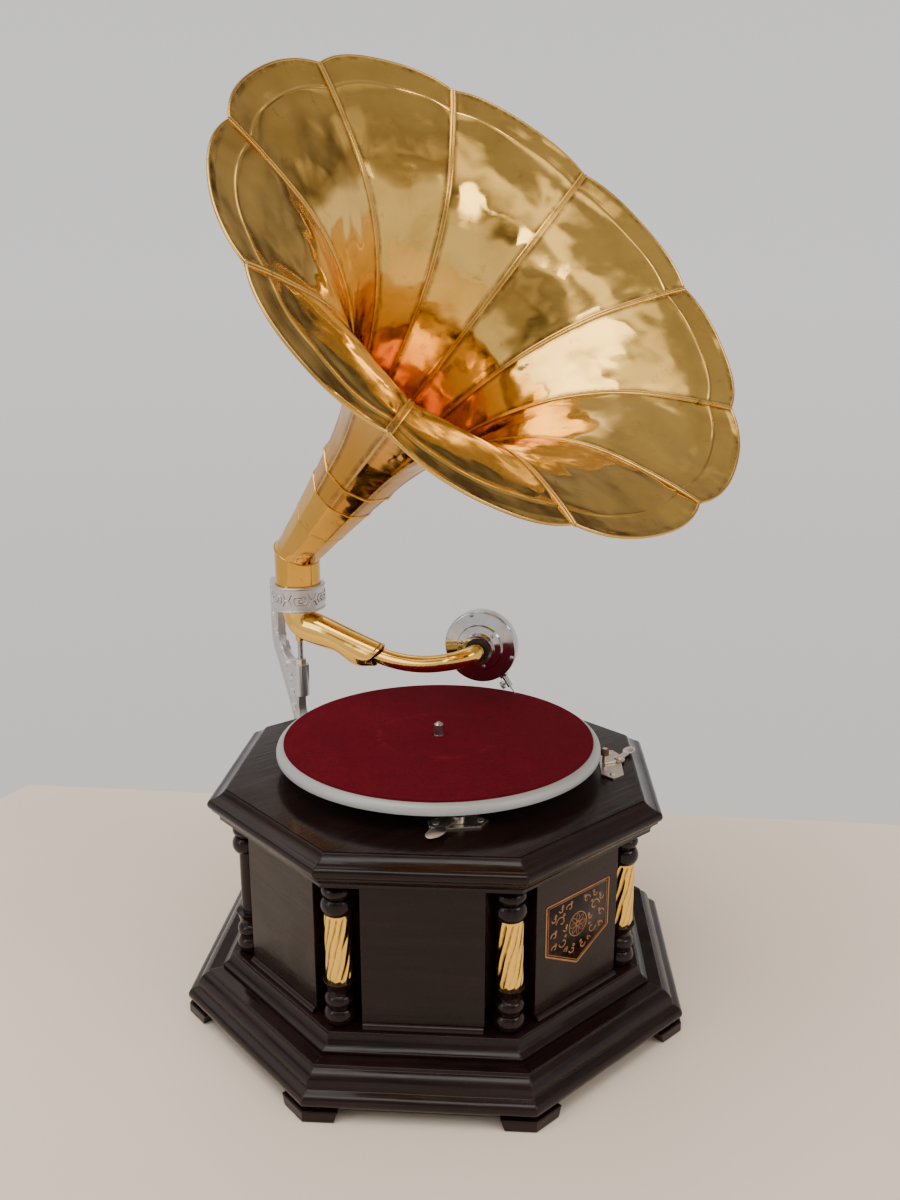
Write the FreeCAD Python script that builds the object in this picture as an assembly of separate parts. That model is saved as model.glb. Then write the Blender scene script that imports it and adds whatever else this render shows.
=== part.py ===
import FreeCAD, Part
import math
import os

V = FreeCAD.Vector
UP = V(0, 0, 1)

# ---------------------------------------------------------------- driving dimensions, in millimetres
SIDES = 8
TURN = 360.0 / SIDES
SLIDE_GAP = 0.3      # between pieces that move past each other
FIT_GAP = 0.05       # a shaft in its bush

PANEL_FACE = 150.0   # centre of the case to a panel's face; the other faces stand out from it
PANEL_THICK = 16.0
PANEL_SHORT = 20.13  # a panel's end to the octagon's corner
COLUMN_HEIGHT = 111.0
COLUMN_INSET = 9.36  # column's axis inside the octagon's corner
SLEEVE_R = 9.2
SLEEVE_WALL = 2.2
SHAFT_R = 6.75

FOOT_HEIGHT = 8.0
FOOT_PROUD = 3.0     # beyond the skirt
FOOT_DEPTH = 23.0
FOOT_WING = 20.87    # each side of a corner
BOARD_LOW_Z = 3.0    # underside of the bottom board
BOARD_LOW_THICK = 5.0

SKIRT_PROUD = 35.0   # beyond the panels
SKIRT_BEAD = 3.5
SKIRT_HEIGHT = 25.4
CAP_HEIGHT = 12.6
CAP_PROUD = 5.9
PLINTH_LAP = 20.0    # plinth's inner edge behind the panels' face

TOP_THICK = 24.0
TOP_PROUD = 17.5
BOARD_PROUD = 4.0
BOARD_THICK = 12.0
REBATE = 14.0

PLATTER_R = 127.0
PLATTER_GAP = 13.5   # motor board to the platter's rim
PLATTER_THICK = 3.0
PLATTER_DEPTH = 7.3
FELT_R = 121.5
FELT_THICK = 1.4
SPINDLE_R = 3.6
SPINDLE_STEP = 0.2   # at each shoulder, down from the tip
SPINDLE_STAND = 10.0

PIVOT_REACH = 45.0   # back panel to the arm's and horn's axis
RING_WALL = 2.95
RING_RISE = 88.0     # case top to the ring's underside
RING_HEIGHT = 23.0
RING_LIP = 8.0
BRACKET_THICK = 8.0
WEB_BACK = 42.5      # behind the arm's axis
WEB_FRONT = 30.7
ROD_R = 2.5
BOSS_R = 7.0
BOSS_RISE = 34.0     # case top to the boss's top
PIVOT_STAND = 23.0   # boss top to the arm's seat

ARM_R = 15.0
ARM_WALL = 1.2
ARM_BEND_MORE = 1.0  # bend radius beyond the tube's
ARM_HEADING = -69.3   # in plan, degrees from +X
ARM_SLOPE = 13.0
ARM_REACH = 84.0
COLLAR_R = 11.0
NECK_R = 7.5
NECK_WALL = 1.0
NECK_BEND_R = 18.0
SOUNDBOX_R = 32.0
SOUNDBOX_X = 94.9
SOUNDBOX_Y = 53.0
SOUNDBOX_HEADING = 33.9
NEEDLE_STAND = 20.2  # soundbox rim to the needle's tip
NEEDLE_LEAN = 36.8

HORN_TUBE_R = 20.25
HORN_WALL = 1.0
MITRE_RISE = 51.6    # ring's underside to the horn's mitre
HORN_RISE = 40.3      # elevation of the horn's axis
NECK_START = 10.0     # along the horn's axis from the mitre
NECK_JOINT = 58.0
NECK_JOINT_R = 24.5
PETALS = 10
PETAL_START = 100.0
PETAL_START_R = 27.9
RIM_NOTCH_R = 191.0
RIM_TIP_R = 202.0
SEAM_WIDTH = 3.2
SEAM_PROUD = 0.9

CRANK_DROP = 54.0    # below the motor's top plate
CRANK_R = 5.0
CRANK_STAND = 41.5   # side panel to the arm
CRANK_THROW = 80.0
GRIP_LENGTH = 62.0

PLATE_THICK = 3.0
PLATE_GAP = 87.0      # between the motor's two plates
PLATE_DROP = 12.0     # motor board to the motor's top plate
BARREL_X = 64.0
BARREL_R = 39.0
BARREL_HEIGHT = 19.0
BARREL_TEETH = 88
DRIVE_TEETH = 14
WHEEL_TEETH = 60
SPINDLE_TEETH = 15
FAST_TEETH = 75
GOVERNOR_TEETH = 12
MODULE = 1.0
FINE_MODULE = 0.8
BEVEL_MODULE = 2.0
BEVEL_WHEEL_TEETH = 32
BEVEL_PINION_TEETH = 16

SPEED_X = -62.0
SPEED_Y = -93.0
BRAKE_X = 104.0
BRAKE_Y = -97.0
CONTROL_PLATE = 1.4
CONTROL_WIDTH = 17.0

# ---------------------------------------------------------------- levels worked out from them
HALF_TURN = math.radians(TURN / 2)
PANEL_HALF_WIDTH = PANEL_FACE * math.tan(HALF_TURN) - PANEL_SHORT
COLUMN_RADIUS = PANEL_FACE / math.cos(HALF_TURN) - COLUMN_INSET
SKIRT_FACE = PANEL_FACE + SKIRT_PROUD
FOOT_FACE = SKIRT_FACE + FOOT_PROUD
FOOT_GAP_HALF = FOOT_FACE * math.tan(HALF_TURN) - FOOT_WING
SKIRT_TOP_Z = FOOT_HEIGHT + SKIRT_HEIGHT
PLINTH_TOP_Z = SKIRT_TOP_Z + CAP_HEIGHT
PLINTH_TOP_FACE = PANEL_FACE + CAP_PROUD
PLINTH_INNER = PANEL_FACE - PLINTH_LAP
TOP_FACE = PANEL_FACE + TOP_PROUD
BOARD_FACE = PANEL_FACE + BOARD_PROUD
BOARD_REBATE = BOARD_FACE - REBATE
CASE_TOP_Z = PLINTH_TOP_Z + COLUMN_HEIGHT
TOP_Z = CASE_TOP_Z + TOP_THICK
BOARD_Z = TOP_Z - BOARD_THICK
RIM_Z = TOP_Z + PLATTER_GAP
PLATTER_Z = RIM_Z + PLATTER_DEPTH
FELT_Z = PLATTER_Z + FELT_THICK
TOP_PLATE_Z = BOARD_Z - PLATE_DROP - PLATE_THICK
LOW_PLATE_Z = TOP_PLATE_Z - PLATE_GAP - PLATE_THICK
SHAFT_FOOT_Z = LOW_PLATE_Z - 0.8
CRANK_Z = TOP_PLATE_Z - CRANK_DROP
CRANK_ARM_X = PANEL_FACE + CRANK_STAND
SEAT_R = SPINDLE_R + SPINDLE_STEP
SPINDLE_SHAFT_R = SEAT_R + SPINDLE_STEP
PIVOT_Y = PANEL_FACE + PIVOT_REACH
RING_R = HORN_TUBE_R + SLIDE_GAP + RING_WALL
RING_Z = TOP_Z + RING_RISE
BOSS_TOP_Z = TOP_Z + BOSS_RISE
ARM_SEAT_Z = BOSS_TOP_Z + PIVOT_STAND
ARM_BEND_R = ARM_R + ARM_BEND_MORE
MITRE_Z = RING_Z + MITRE_RISE
NEEDLE_LENGTH = SOUNDBOX_R + NEEDLE_STAND
PARTS = {}


# ---------------------------------------------------------------- small tools
def point(a, b, flat):
    """A drawing point: in plan when flat, else in the X-Z plane."""
    return V(a, b, 0) if flat else V(a, 0, b)


def outline(steps, flat=False):
    """A closed face from a start point, then (a, b) for a line or (mid, end) for an arc."""
    at = steps[0]
    edges = []
    for step in steps[1:] + [steps[0]]:
        if isinstance(step[0], tuple):
            mid, end = step
            edges.append(Part.Arc(point(*at, flat), point(*mid, flat), point(*end, flat)).toShape())
            at = end
        elif math.dist(step, at) > 1e-6:
            edges.append(Part.makeLine(point(*at, flat), point(*step, flat)))
            at = step
    return Part.Face(Part.Wire(edges))


def lathe(steps, angle=360.0):
    return outline(steps).revolve(V(), UP, angle)


def prism(steps, low, high):
    return outline(steps, flat=True).translated(V(0, 0, low)).extrude(V(0, 0, high - low))


def rod(radius, low, high, x=0.0, y=0.0):
    return Part.makeCylinder(radius, high - low, V(x, y, low))


def ring(outer, inner, low, high, x=0.0, y=0.0):
    return rod(outer, low, high, x, y).cut(rod(inner, low - 1, high + 1, x, y))


def block(x0, x1, y0, y1, z0, z1):
    return Part.makeBox(x1 - x0, y1 - y0, z1 - z0, V(x0, y0, z0))


def spun(shape, degrees, x=0.0, y=0.0):
    done = shape.copy()
    done.rotate(V(x, y, 0), UP, degrees)
    return done


def framed(shape, origin, x_axis, z_axis):
    """Moves a shape drawn about the origin to a frame given by its origin, X and Z directions."""
    z = V(z_axis).normalize()
    y = z.cross(x_axis).normalize()
    x = y.cross(z)
    matrix = FreeCAD.Matrix(x.x, y.x, z.x, origin.x, x.y, y.y, z.y, origin.y,
                            x.z, y.z, z.z, origin.z, 0, 0, 0, 1)
    done = shape.copy()
    done.Placement = FreeCAD.Placement(matrix).multiply(done.Placement)
    return done


def fused(first, *others):
    return first.fuse(list(others)).removeSplitter()


def heading(degrees):
    return V(math.cos(math.radians(degrees)), math.sin(math.radians(degrees)), 0)


def corner(k):
    return TURN * (k + 0.5)


def octagon(face, low, high):
    radius = face / math.cos(HALF_TURN)
    ends = [heading(corner(k)) * radius for k in range(SIDES)]
    return prism([(p.x, p.y) for p in ends], low, high)


def keep(name, *solids):
    """Files one node's solids."""
    PARTS.setdefault(name, []).extend(solids)


def mitred(steps, k):
    """One length of moulding on face k, mitred to its neighbours."""
    reach = 2 * TOP_FACE
    length = outline(steps).translated(V(0, -reach, 0)).extrude(V(0, 2 * reach, 0))
    wide = reach * math.tan(HALF_TURN)
    wedge = prism([(0, 0), (reach, -wide), (reach, wide)], -10, 400)
    return spun(length.common(wedge), k * TURN)


def screw(at, direction, head_r, shank_r, length, head=1.8):
    """A slotted round-head screw whose head stands on a face at a point."""
    dome = Part.makeSphere(head_r * 1.2, V(0, 0, head - head_r * 1.2)).common(rod(head_r, 0, head))
    slot = block(-head_r, head_r, -head_r * 0.13, head_r * 0.13, head * 0.55, head + 1)
    body = fused(dome.cut(slot), rod(shank_r, -length, 0.01))
    side = V(0, 0, 1) if abs(direction.z) < 0.9 else V(1, 0, 0)
    return framed(body, at, side, direction)


def hole_for(at, direction, radius, length):
    return Part.makeCylinder(radius, length + 1, at + direction * 0.5, direction * -1)


# ---------------------------------------------------------------- the wooden case
def feet():
    """Eight bracket feet, each wrapped round a corner with sloping ends."""
    slope = 4.0
    inner = FOOT_FACE - FOOT_DEPTH
    reach = FOOT_FACE * math.tan(HALF_TURN) + 10
    for k in range(SIDES):
        legs = []
        for side, way in ((k, 1), (k + 1, -1)):
            low, high = FOOT_GAP_HALF + slope, FOOT_GAP_HALF
            leg = Part.Face(Part.makePolygon([
                V(inner, way * low, 0), V(inner, way * reach, 0), V(inner, way * reach, FOOT_HEIGHT),
                V(inner, way * high, FOOT_HEIGHT), V(inner, way * low, 0)]))
            legs.append(spun(leg.extrude(V(FOOT_DEPTH, 0, 0)), side * TURN))
        far = 2 * FOOT_FACE
        wide = far * math.tan(HALF_TURN)
        halves = []
        for leg, turn in zip(legs, (k, k + 1)):
            wedge = prism([(0, 0), (far, -wide), (far, wide)], -1, FOOT_HEIGHT + 1)
            halves.append(leg.common(spun(wedge, turn * TURN)))
        keep("feet", fused(halves[0], halves[1]))


def plinth():
    bead_low, bead_high = FOOT_HEIGHT + 2.0, FOOT_HEIGHT + 11.5
    step = SKIRT_FACE - 3.4
    ovolo = SKIRT_FACE - 11.5
    waist = SKIRT_FACE - 22.0
    skirt = [
        (PLINTH_INNER, FOOT_HEIGHT), (SKIRT_FACE, FOOT_HEIGHT), (SKIRT_FACE, bead_low),
        ((SKIRT_FACE + SKIRT_BEAD, (bead_low + bead_high) / 2), (SKIRT_FACE, bead_high)),
        (step, bead_high + 1.2),
        ((step - 1.9, SKIRT_TOP_Z - 6.6), (ovolo, SKIRT_TOP_Z - 2.0)),
        (ovolo, SKIRT_TOP_Z), (PLINTH_INNER, SKIRT_TOP_Z)]
    cap = [
        (PLINTH_INNER, SKIRT_TOP_Z), (waist, SKIRT_TOP_Z), (waist, SKIRT_TOP_Z + 2.6),
        ((waist - 5.2, SKIRT_TOP_Z + 6.6), (PLINTH_TOP_FACE, PLINTH_TOP_Z - 2.0)),
        (PLINTH_TOP_FACE, PLINTH_TOP_Z), (PLINTH_INNER, PLINTH_TOP_Z)]
    for k in range(SIDES):
        keep("plinth_skirt", mitred(skirt, k))
        keep("plinth_cap", mitred(cap, k))
    keep("bottom_board", octagon(FOOT_FACE - FOOT_DEPTH - 5, BOARD_LOW_Z, BOARD_LOW_Z + BOARD_LOW_THICK))


def panels():
    """Eight panels; face 0 lets the crank through and face 2 carries the horn bracket's screws."""
    inner = PANEL_FACE - PANEL_THICK
    for k in range(SIDES):
        panel = block(inner, PANEL_FACE, -PANEL_HALF_WIDTH, PANEL_HALF_WIDTH, PLINTH_TOP_Z, CASE_TOP_Z)
        panel = spun(panel, k * TURN)
        if k == 0:
            bore = Part.makeCylinder(CRANK_R + 2.5, PANEL_THICK * 2, V(inner - 5, 0, CRANK_Z), V(1, 0, 0))
            panel = panel.cut(bore)
            for at in escutcheon_screw_places():
                panel = panel.cut(hole_for(at, V(1, 0, 0), 1.2, 9))
        if k == 2:
            for at in bracket_screw_places():
                panel = panel.cut(hole_for(at, V(0, 1, 0), 2.2, 20))
        keep("case_panels", panel)


def corner_posts():
    """Posts glued behind the panels' ends, set back behind the columns."""
    inner = PANEL_FACE - PANEL_THICK
    cos, sin = math.cos(HALF_TURN), math.sin(HALF_TURN)

    def from_corner(face, along):
        return face * cos + along * sin, face * sin - along * cos

    nose_x, nose_y = from_corner(inner + 0.6, PANEL_HALF_WIDTH)
    end_x, end_y = from_corner(inner, PANEL_HALF_WIDTH)
    lap_x, lap_y = from_corner(inner, PANEL_HALF_WIDTH - 12)
    back = end_x - 19.0
    plan = [(nose_x, nose_y), (end_x, end_y), (lap_x, lap_y), (back, end_y + 2),
            (back, -end_y - 2), (lap_x, -lap_y), (end_x, -end_y), (nose_x, -nose_y)]
    for k in range(SIDES):
        keep("corner_posts", spun(prism(plan, PLINTH_TOP_Z, CASE_TOP_Z), corner(k)))


def column_steps():
    """The turned outline, as (radius, height above the plinth) from the bottom bulb to the neck."""
    h = COLUMN_HEIGHT
    return [
        (0, 0), (8.5, 0), ((11.2, 5.8), (8.8, 11.5)),
        (7.6, 12.2), ((10.6, 17.6), (7.8, 22.8)),
        (7.4, 23.4), (8.6, 24.6), ((9.6, 29.0), (11.0, 32.4)), (11.0, 33.0),
        (SHAFT_R, 33.0), (SHAFT_R, h - 27.5),
        (9.0, h - 27.5), ((11.4, h - 21.2), (9.0, h - 15.4)),
        (7.8, h - 14.6), ((10.8, h - 10.3), (7.8, h - 6.2)),
        (7.2, h - 5.6), ((8.2, h - 2.6), (10.2, h - 0.8)), (10.2, h), (0, h)]


def columns():
    """Turned columns at every corner; the four front ones carry gilt metal sleeves."""
    low, high = PLINTH_TOP_Z + 33.0, PLINTH_TOP_Z + COLUMN_HEIGHT - 27.5
    turned = lathe(column_steps()).translated(V(0, 0, PLINTH_TOP_Z))
    sleeve = ring(SLEEVE_R, SLEEVE_R - SLEEVE_WALL, low, high)
    for k in range(SIDES):
        at = heading(corner(k)) * COLUMN_RADIUS
        keep("columns", spun(turned, corner(k)).translated(at))
        if k >= SIDES // 2:
            keep("gilt_sleeves", spun(sleeve, corner(k)).translated(at))


def top():
    """Mitred top moulding round a rebated motor board."""
    z = CASE_TOP_Z
    edge = TOP_FACE
    lip = edge - 4.0
    steps = [
        (BOARD_REBATE, z), (edge - 8.0, z), (edge - 8.0, z + 2.0),
        ((edge - 6.2, z + 5.4), (edge - 3.0, z + 8.0)), (edge - 3.0, z + 9.5),
        ((edge, z + 13.6), (lip, z + 17.5)), (lip - 1.0, z + 17.7),
        ((edge - 9.6, z + 20.2), (BOARD_FACE + 1.0, TOP_Z - 0.8)), (BOARD_FACE, TOP_Z - 0.8),
        (BOARD_FACE, BOARD_Z), (BOARD_REBATE, BOARD_Z)]
    for k in range(SIDES):
        keep("top_moulding", mitred(steps, k))
    board = octagon(BOARD_FACE, BOARD_Z, TOP_Z)
    board = board.cut(rod(SPINDLE_SHAFT_R + 3, BOARD_Z - 1, TOP_Z + 1))
    board = board.cut(rod(3.0 + SLIDE_GAP, BOARD_Z - 1, TOP_Z + 1, SPEED_X, SPEED_Y))
    for x, y in pillar_places():
        board = board.cut(rod(2.5 + FIT_GAP, BOARD_Z - 1, TOP_Z + 1, x, y))
    for at in control_screw_places():
        board = board.cut(hole_for(at, UP, 1.1, 9))
    board = board.cut(hole_for(V(BRAKE_X, BRAKE_Y, TOP_Z), UP, 1.5 + FIT_GAP, 9))
    keep("motor_board", board)


# ---------------------------------------------------------------- the cast bracket and its pivot
BRACKET_FOOT_Z = PLINTH_TOP_Z + 10.0
BRACKET_HEAD_Z = CASE_TOP_Z - 29.0


def bracket_screw_places():
    face = PANEL_FACE + BRACKET_THICK
    return [V(x, face, z) for x in (-13, 13) for z in (BRACKET_FOOT_Z + 10, BRACKET_HEAD_Z - 10)]


def curve(points, start, end):
    """A smooth edge through points in the Y-Z plane, leaving and arriving in given directions."""
    line = Part.BSplineCurve()
    line.interpolate([V(0, y, z) for y, z in points], InitialTangent=V(0, *start), FinalTangent=V(0, *end))
    return line.toShape()


def straight(a, b):
    return Part.makeLine(V(0, *a), V(0, *b))


def web_points(steps):
    """Points in the Y-Z plane from distances behind the arm's axis and heights above the case."""
    return [(PIVOT_Y + behind, TOP_Z + rise) for behind, rise in steps]


def bracket_web():
    """The flat web: down from the ring, round the arm's gap, under the top's overhang to the panel."""
    ring_top = RING_Z + RING_HEIGHT
    foot_y = PANEL_FACE + BRACKET_THICK - 2
    inside = PIVOT_Y + RING_R - 4
    back_y = PIVOT_Y + WEB_BACK
    front_y = PIVOT_Y + WEB_FRONT
    back = web_points([(WEB_BACK, 59), (34, 32), (20, 3), (9, -23), (-1, -49), (-17, -73)])
    back.append((foot_y, BRACKET_HEAD_Z - 32))
    front = [(foot_y, BRACKET_HEAD_Z - 9)]
    front += web_points([(-23, -57), (-11, -43), (-6, -23), (0, -7), (-4, 13), (-BOSS_R, BOSS_RISE)])
    gap = web_points([(BOSS_R + 1, BOSS_RISE), (23, 40), (WEB_FRONT, 57)])
    edges = [
        straight((inside, ring_top), (back_y - 7, ring_top)),
        Part.Arc(V(0, back_y - 7, ring_top), V(0, back_y - 2.05, ring_top - 2.05),
                 V(0, back_y, ring_top - 7)).toShape(),
        straight((back_y, ring_top - 7), back[0]),
        curve(back, (0, -1), (-1, -0.2)),
        straight(back[-1], front[0]),
        curve(front, (1, 0.1), (-0.05, 1)),
        straight(front[-1], gap[0]),
        curve(gap, (1, 0), (0, 1)),
        straight(gap[-1], (front_y, RING_Z)),
        straight((front_y, RING_Z), (inside, RING_Z)),
        straight((inside, RING_Z), (inside, ring_top))]
    web = Part.Face(Part.Wire(edges)).extrude(V(BRACKET_THICK, 0, 0))
    return web.translated(V(-BRACKET_THICK / 2, 0, 0))


def bracket():
    """One casting: foot plate, web, boss for the pivot rod and the ring that carries the horn."""
    face = PANEL_FACE + BRACKET_THICK
    foot = block(-20, 20, PANEL_FACE, face, BRACKET_FOOT_Z, BRACKET_HEAD_Z)
    uprights = [edge for edge in foot.Edges if abs(edge.tangentAt(edge.FirstParameter).y) > 0.9]
    foot = foot.makeFillet(9, uprights)
    boss = rod(BOSS_R, BOSS_TOP_Z - 30, BOSS_TOP_Z, 0, PIVOT_Y)
    collar = rod(RING_R, RING_Z, RING_Z + RING_HEIGHT, 0, PIVOT_Y)
    body = fused(foot, bracket_web(), boss, collar)
    body = body.cut(rod(ARM_R + SLIDE_GAP, RING_Z - 1, RING_Z + RING_LIP + 1, 0, PIVOT_Y))
    body = body.cut(rod(HORN_TUBE_R + SLIDE_GAP, RING_Z + RING_LIP, RING_Z + RING_HEIGHT + 1, 0, PIVOT_Y))
    body = body.cut(rod(ROD_R, BOSS_TOP_Z - 22, BOSS_TOP_Z + 1, 0, PIVOT_Y))
    for at in bracket_screw_places():
        body = body.cut(hole_for(at, V(0, 1, 0), 2.2, BRACKET_THICK))
        keep("wood_screws", screw(at, V(0, 1, 0), 4.5, 2.2, 19, head=2.8))
    keep("bracket", body)


def pivot():
    """The rod that carries the tone arm, locked by a hexagon nut on the boss."""
    top_z = ARM_SEAT_Z + 4.2
    keep("pivot_rod", rod(ROD_R, BOSS_TOP_Z - 22, top_z, 0, PIVOT_Y))
    flat = [(p.x, PIVOT_Y + p.y) for p in ring_places(6, 5.2, 0)]
    nut = prism(flat, BOSS_TOP_Z, BOSS_TOP_Z + 5).cut(rod(ROD_R, BOSS_TOP_Z - 1, BOSS_TOP_Z + 6, 0, PIVOT_Y))
    keep("pivot_nut", nut)


# ---------------------------------------------------------------- tone arm, gooseneck and soundbox
ARM_TOP_Z = RING_Z + RING_LIP - 1.0
BEND_Z = ARM_TOP_Z - 8.0
PIVOT = V(0, PIVOT_Y, 0)
ARM_DIR = heading(ARM_HEADING)
ARM_FALL = (ARM_DIR * math.cos(math.radians(ARM_SLOPE)) - UP * math.sin(math.radians(ARM_SLOPE)))
SOUNDBOX_DIR = heading(SOUNDBOX_HEADING)
NEEDLE_DROP = NEEDLE_LENGTH * math.cos(math.radians(NEEDLE_LEAN))
SOUNDBOX_AT = V(SOUNDBOX_X, SOUNDBOX_Y, FELT_Z + SLIDE_GAP + NEEDLE_DROP)


def bend_point(turn):
    """A point on the elbow's centre line, after a turn from straight down."""
    return PIVOT + ARM_DIR * (ARM_BEND_R * (1 - math.cos(turn))) + UP * (BEND_Z - ARM_BEND_R * math.sin(turn))


def bend_end():
    return bend_point(math.radians(90 - ARM_SLOPE))


def collar_centre():
    start = bend_end()
    gone = (start - PIVOT - UP * start.z).dot(ARM_DIR)
    return start + ARM_FALL * ((ARM_REACH - gone) / math.cos(math.radians(ARM_SLOPE)))


def arm_section(at, direction, radius):
    return Part.Wire(Part.makeCircle(radius, at, direction))


def arm_skin(shrink, overrun):
    """The tapering elbow as a smooth loft, its wall taken off for the bore."""
    sections = [arm_section(PIVOT + UP * (ARM_TOP_Z + overrun), UP * -1, ARM_R - shrink),
                arm_section(PIVOT + UP * BEND_Z, UP * -1, ARM_R - shrink)]
    for share in (0.33, 0.67, 1.0):
        turn = math.radians((90 - ARM_SLOPE) * share)
        at = bend_point(turn)
        way = ARM_DIR * math.sin(turn) - UP * math.cos(turn)
        sections.append(arm_section(at, way, ARM_R - 0.9 * share - shrink))
    start, end = bend_end(), collar_centre()
    middle = (start + end) * 0.5
    sections.append(arm_section(middle, ARM_FALL, (ARM_R - 0.9 + COLLAR_R) / 2 - shrink))
    sections.append(arm_section(end + ARM_FALL * overrun, ARM_FALL, COLLAR_R - shrink))
    return Part.makeLoft(sections, True, False)


def tonearm():
    """Brass arm: vertical barrel in the bracket's ring, elbow, taper and an open collar."""
    bore = arm_skin(ARM_WALL, 1.0)
    cup = rod(4.2, ARM_SEAT_Z, BEND_Z - 14, 0, PIVOT_Y)
    body = fused(arm_skin(0.0, 0.0), cup).cut(bore)
    body = body.cut(rod(ROD_R + SLIDE_GAP, ARM_SEAT_Z - 1, ARM_SEAT_Z + 4.5, 0, PIVOT_Y))
    seat = collar_centre() - ARM_FALL * 9.0
    outer = COLLAR_R - ARM_WALL - 0.1
    sleeve = ring(outer, NECK_R + SLIDE_GAP, 0, 5)
    keep("collar_bush", framed(sleeve, seat, UP, ARM_FALL))
    side = ARM_FALL.cross(UP).normalize() * -1
    down = (side * 0.8 - UP * 0.6).normalize()
    at = collar_centre() - ARM_FALL * 5.0 + down * (COLLAR_R + 0.2)
    stop = screw(at, down, 2.2, 1.1, 1.4, head=1.6)
    keep("tonearm", body.cut(stop), stop)


def gooseneck_route(overrun):
    """Straight runs and tangent arcs: out of the collar, under a long dip, up and round to the soundbox."""
    start = collar_centre() - ARM_FALL * (10.0 + overrun)
    boss = SOUNDBOX_AT - SOUNDBOX_DIR * 18.0
    last = boss - SOUNDBOX_DIR * (NECK_BEND_R * 1.25)
    dip = collar_centre() + ARM_FALL * 32.0
    end = boss + SOUNDBOX_DIR * (8.0 + overrun)
    edges = []
    at = start
    for corner_at, after, radius in ((dip, last, 130.0), (last, end, NECK_BEND_R)):
        into = (corner_at - at).normalize()
        out = (after - corner_at).normalize()
        turn = into.getAngle(out)
        reach = radius * math.tan(turn / 2)
        a, b = corner_at - into * reach, corner_at + out * reach
        inward = (out - into).normalize()
        middle = corner_at + inward * (radius / math.cos(turn / 2) - radius)
        edges += [Part.makeLine(at, a), Part.Arc(a, middle, b).toShape()]
        at = b
    edges.append(Part.makeLine(at, end))
    return Part.Wire(edges)


def pipe(route, radius):
    start = route.Edges[0].Vertexes[0].Point
    way = route.Edges[0].tangentAt(route.Edges[0].FirstParameter)
    return route.makePipeShell([Part.Wire(Part.makeCircle(radius, start, way))], True, False)


def gooseneck():
    keep("gooseneck", pipe(gooseneck_route(0.0), NECK_R).cut(pipe(gooseneck_route(1.0), NECK_R - NECK_WALL)))


def soundbox_frame(shape):
    return framed(shape, SOUNDBOX_AT, UP.cross(SOUNDBOX_DIR), SOUNDBOX_DIR)


def ring_places(count, radius, start):
    return [V(radius * math.cos(math.radians(start + 360 * i / count)),
              radius * math.sin(math.radians(start + 360 * i / count)), 0) for i in range(count)]


def soundbox():
    """Drawn with its axis along Z, the back plate towards -Z and the open front towards +Z."""
    r = SOUNDBOX_R
    window = r - 7.0
    lap = window + 2.0
    back = lathe([(6.8, -5), (19.5, -5), (19.5, -4), (lap, 0), (lap, 1.2), (r, 1.2), (r, -2.2),
                  ((r - 0.6, -3.4), (r - 2, -4)), (20.5, -5.2), (19.5, -7.5), (13.8, -8.2),
                  (13.2, -14.5), (10.4, -14.5), (10.4, -8), (6.8, -8)])
    screws = []
    for at in ring_places(3, r - 2.8, 75):
        screws.append(screw(V(at.x, at.y, -3.9), UP * -1, 1.9, 1.1, 8.4, head=1.2))
    for at in ring_places(3, 16.4, 15):
        screws.append(screw(V(at.x, at.y, -7.8), UP * -1, 1.6, 0.8, 2.4, head=1.2))
    held = Part.makeCompound(screws)
    rim = lathe([(window, 1.2), (r, 1.2), (r, 6.4), ((r - 0.5, 7.6), (r - 1.8, 8)), (window + 1.5, 8),
                 (window, 6.4)])
    foot = framed(block(-3.4, 4.2, -3.2, 3.2, 0, 4.4), STYLUS_FOOT, UP, STYLUS_OUT)
    slot = framed(block(-2.0, 2.0, -1.7, 1.7, -3, 8), STYLUS_FOOT, STYLUS_OUT, UP)
    bore = framed(rod(2.6, -4, 9), STYLUS_FOOT, UP, STYLUS_OUT * NEEDLE_LENGTH - STYLUS_FOOT)
    rim = fused(rim, foot).cut(Part.makeCompound([bore, slot]))
    keep("soundbox_back", soundbox_frame(back.cut(held)))
    keep("soundbox_rim", soundbox_frame(rim.cut(held)))
    keep("soundbox_screws", *[soundbox_frame(s) for s in screws])
    bush = ring(10.4, NECK_R, -16, -8)
    gaskets = [ring(window, window - 2, low, low + 2) for low in (1.4, 3.8)]
    keep("soundbox_rubbers", *[soundbox_frame(s) for s in [bush] + gaskets])
    keep("diaphragm", soundbox_frame(rod(window - 0.2, 3.4, 3.8)))


STYLUS_OUT = V(-math.sin(math.radians(NEEDLE_LEAN)), -math.cos(math.radians(NEEDLE_LEAN)), 0)
STYLUS_FOOT = STYLUS_OUT * (SOUNDBOX_R - 2.0) + UP * 4.6


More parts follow.
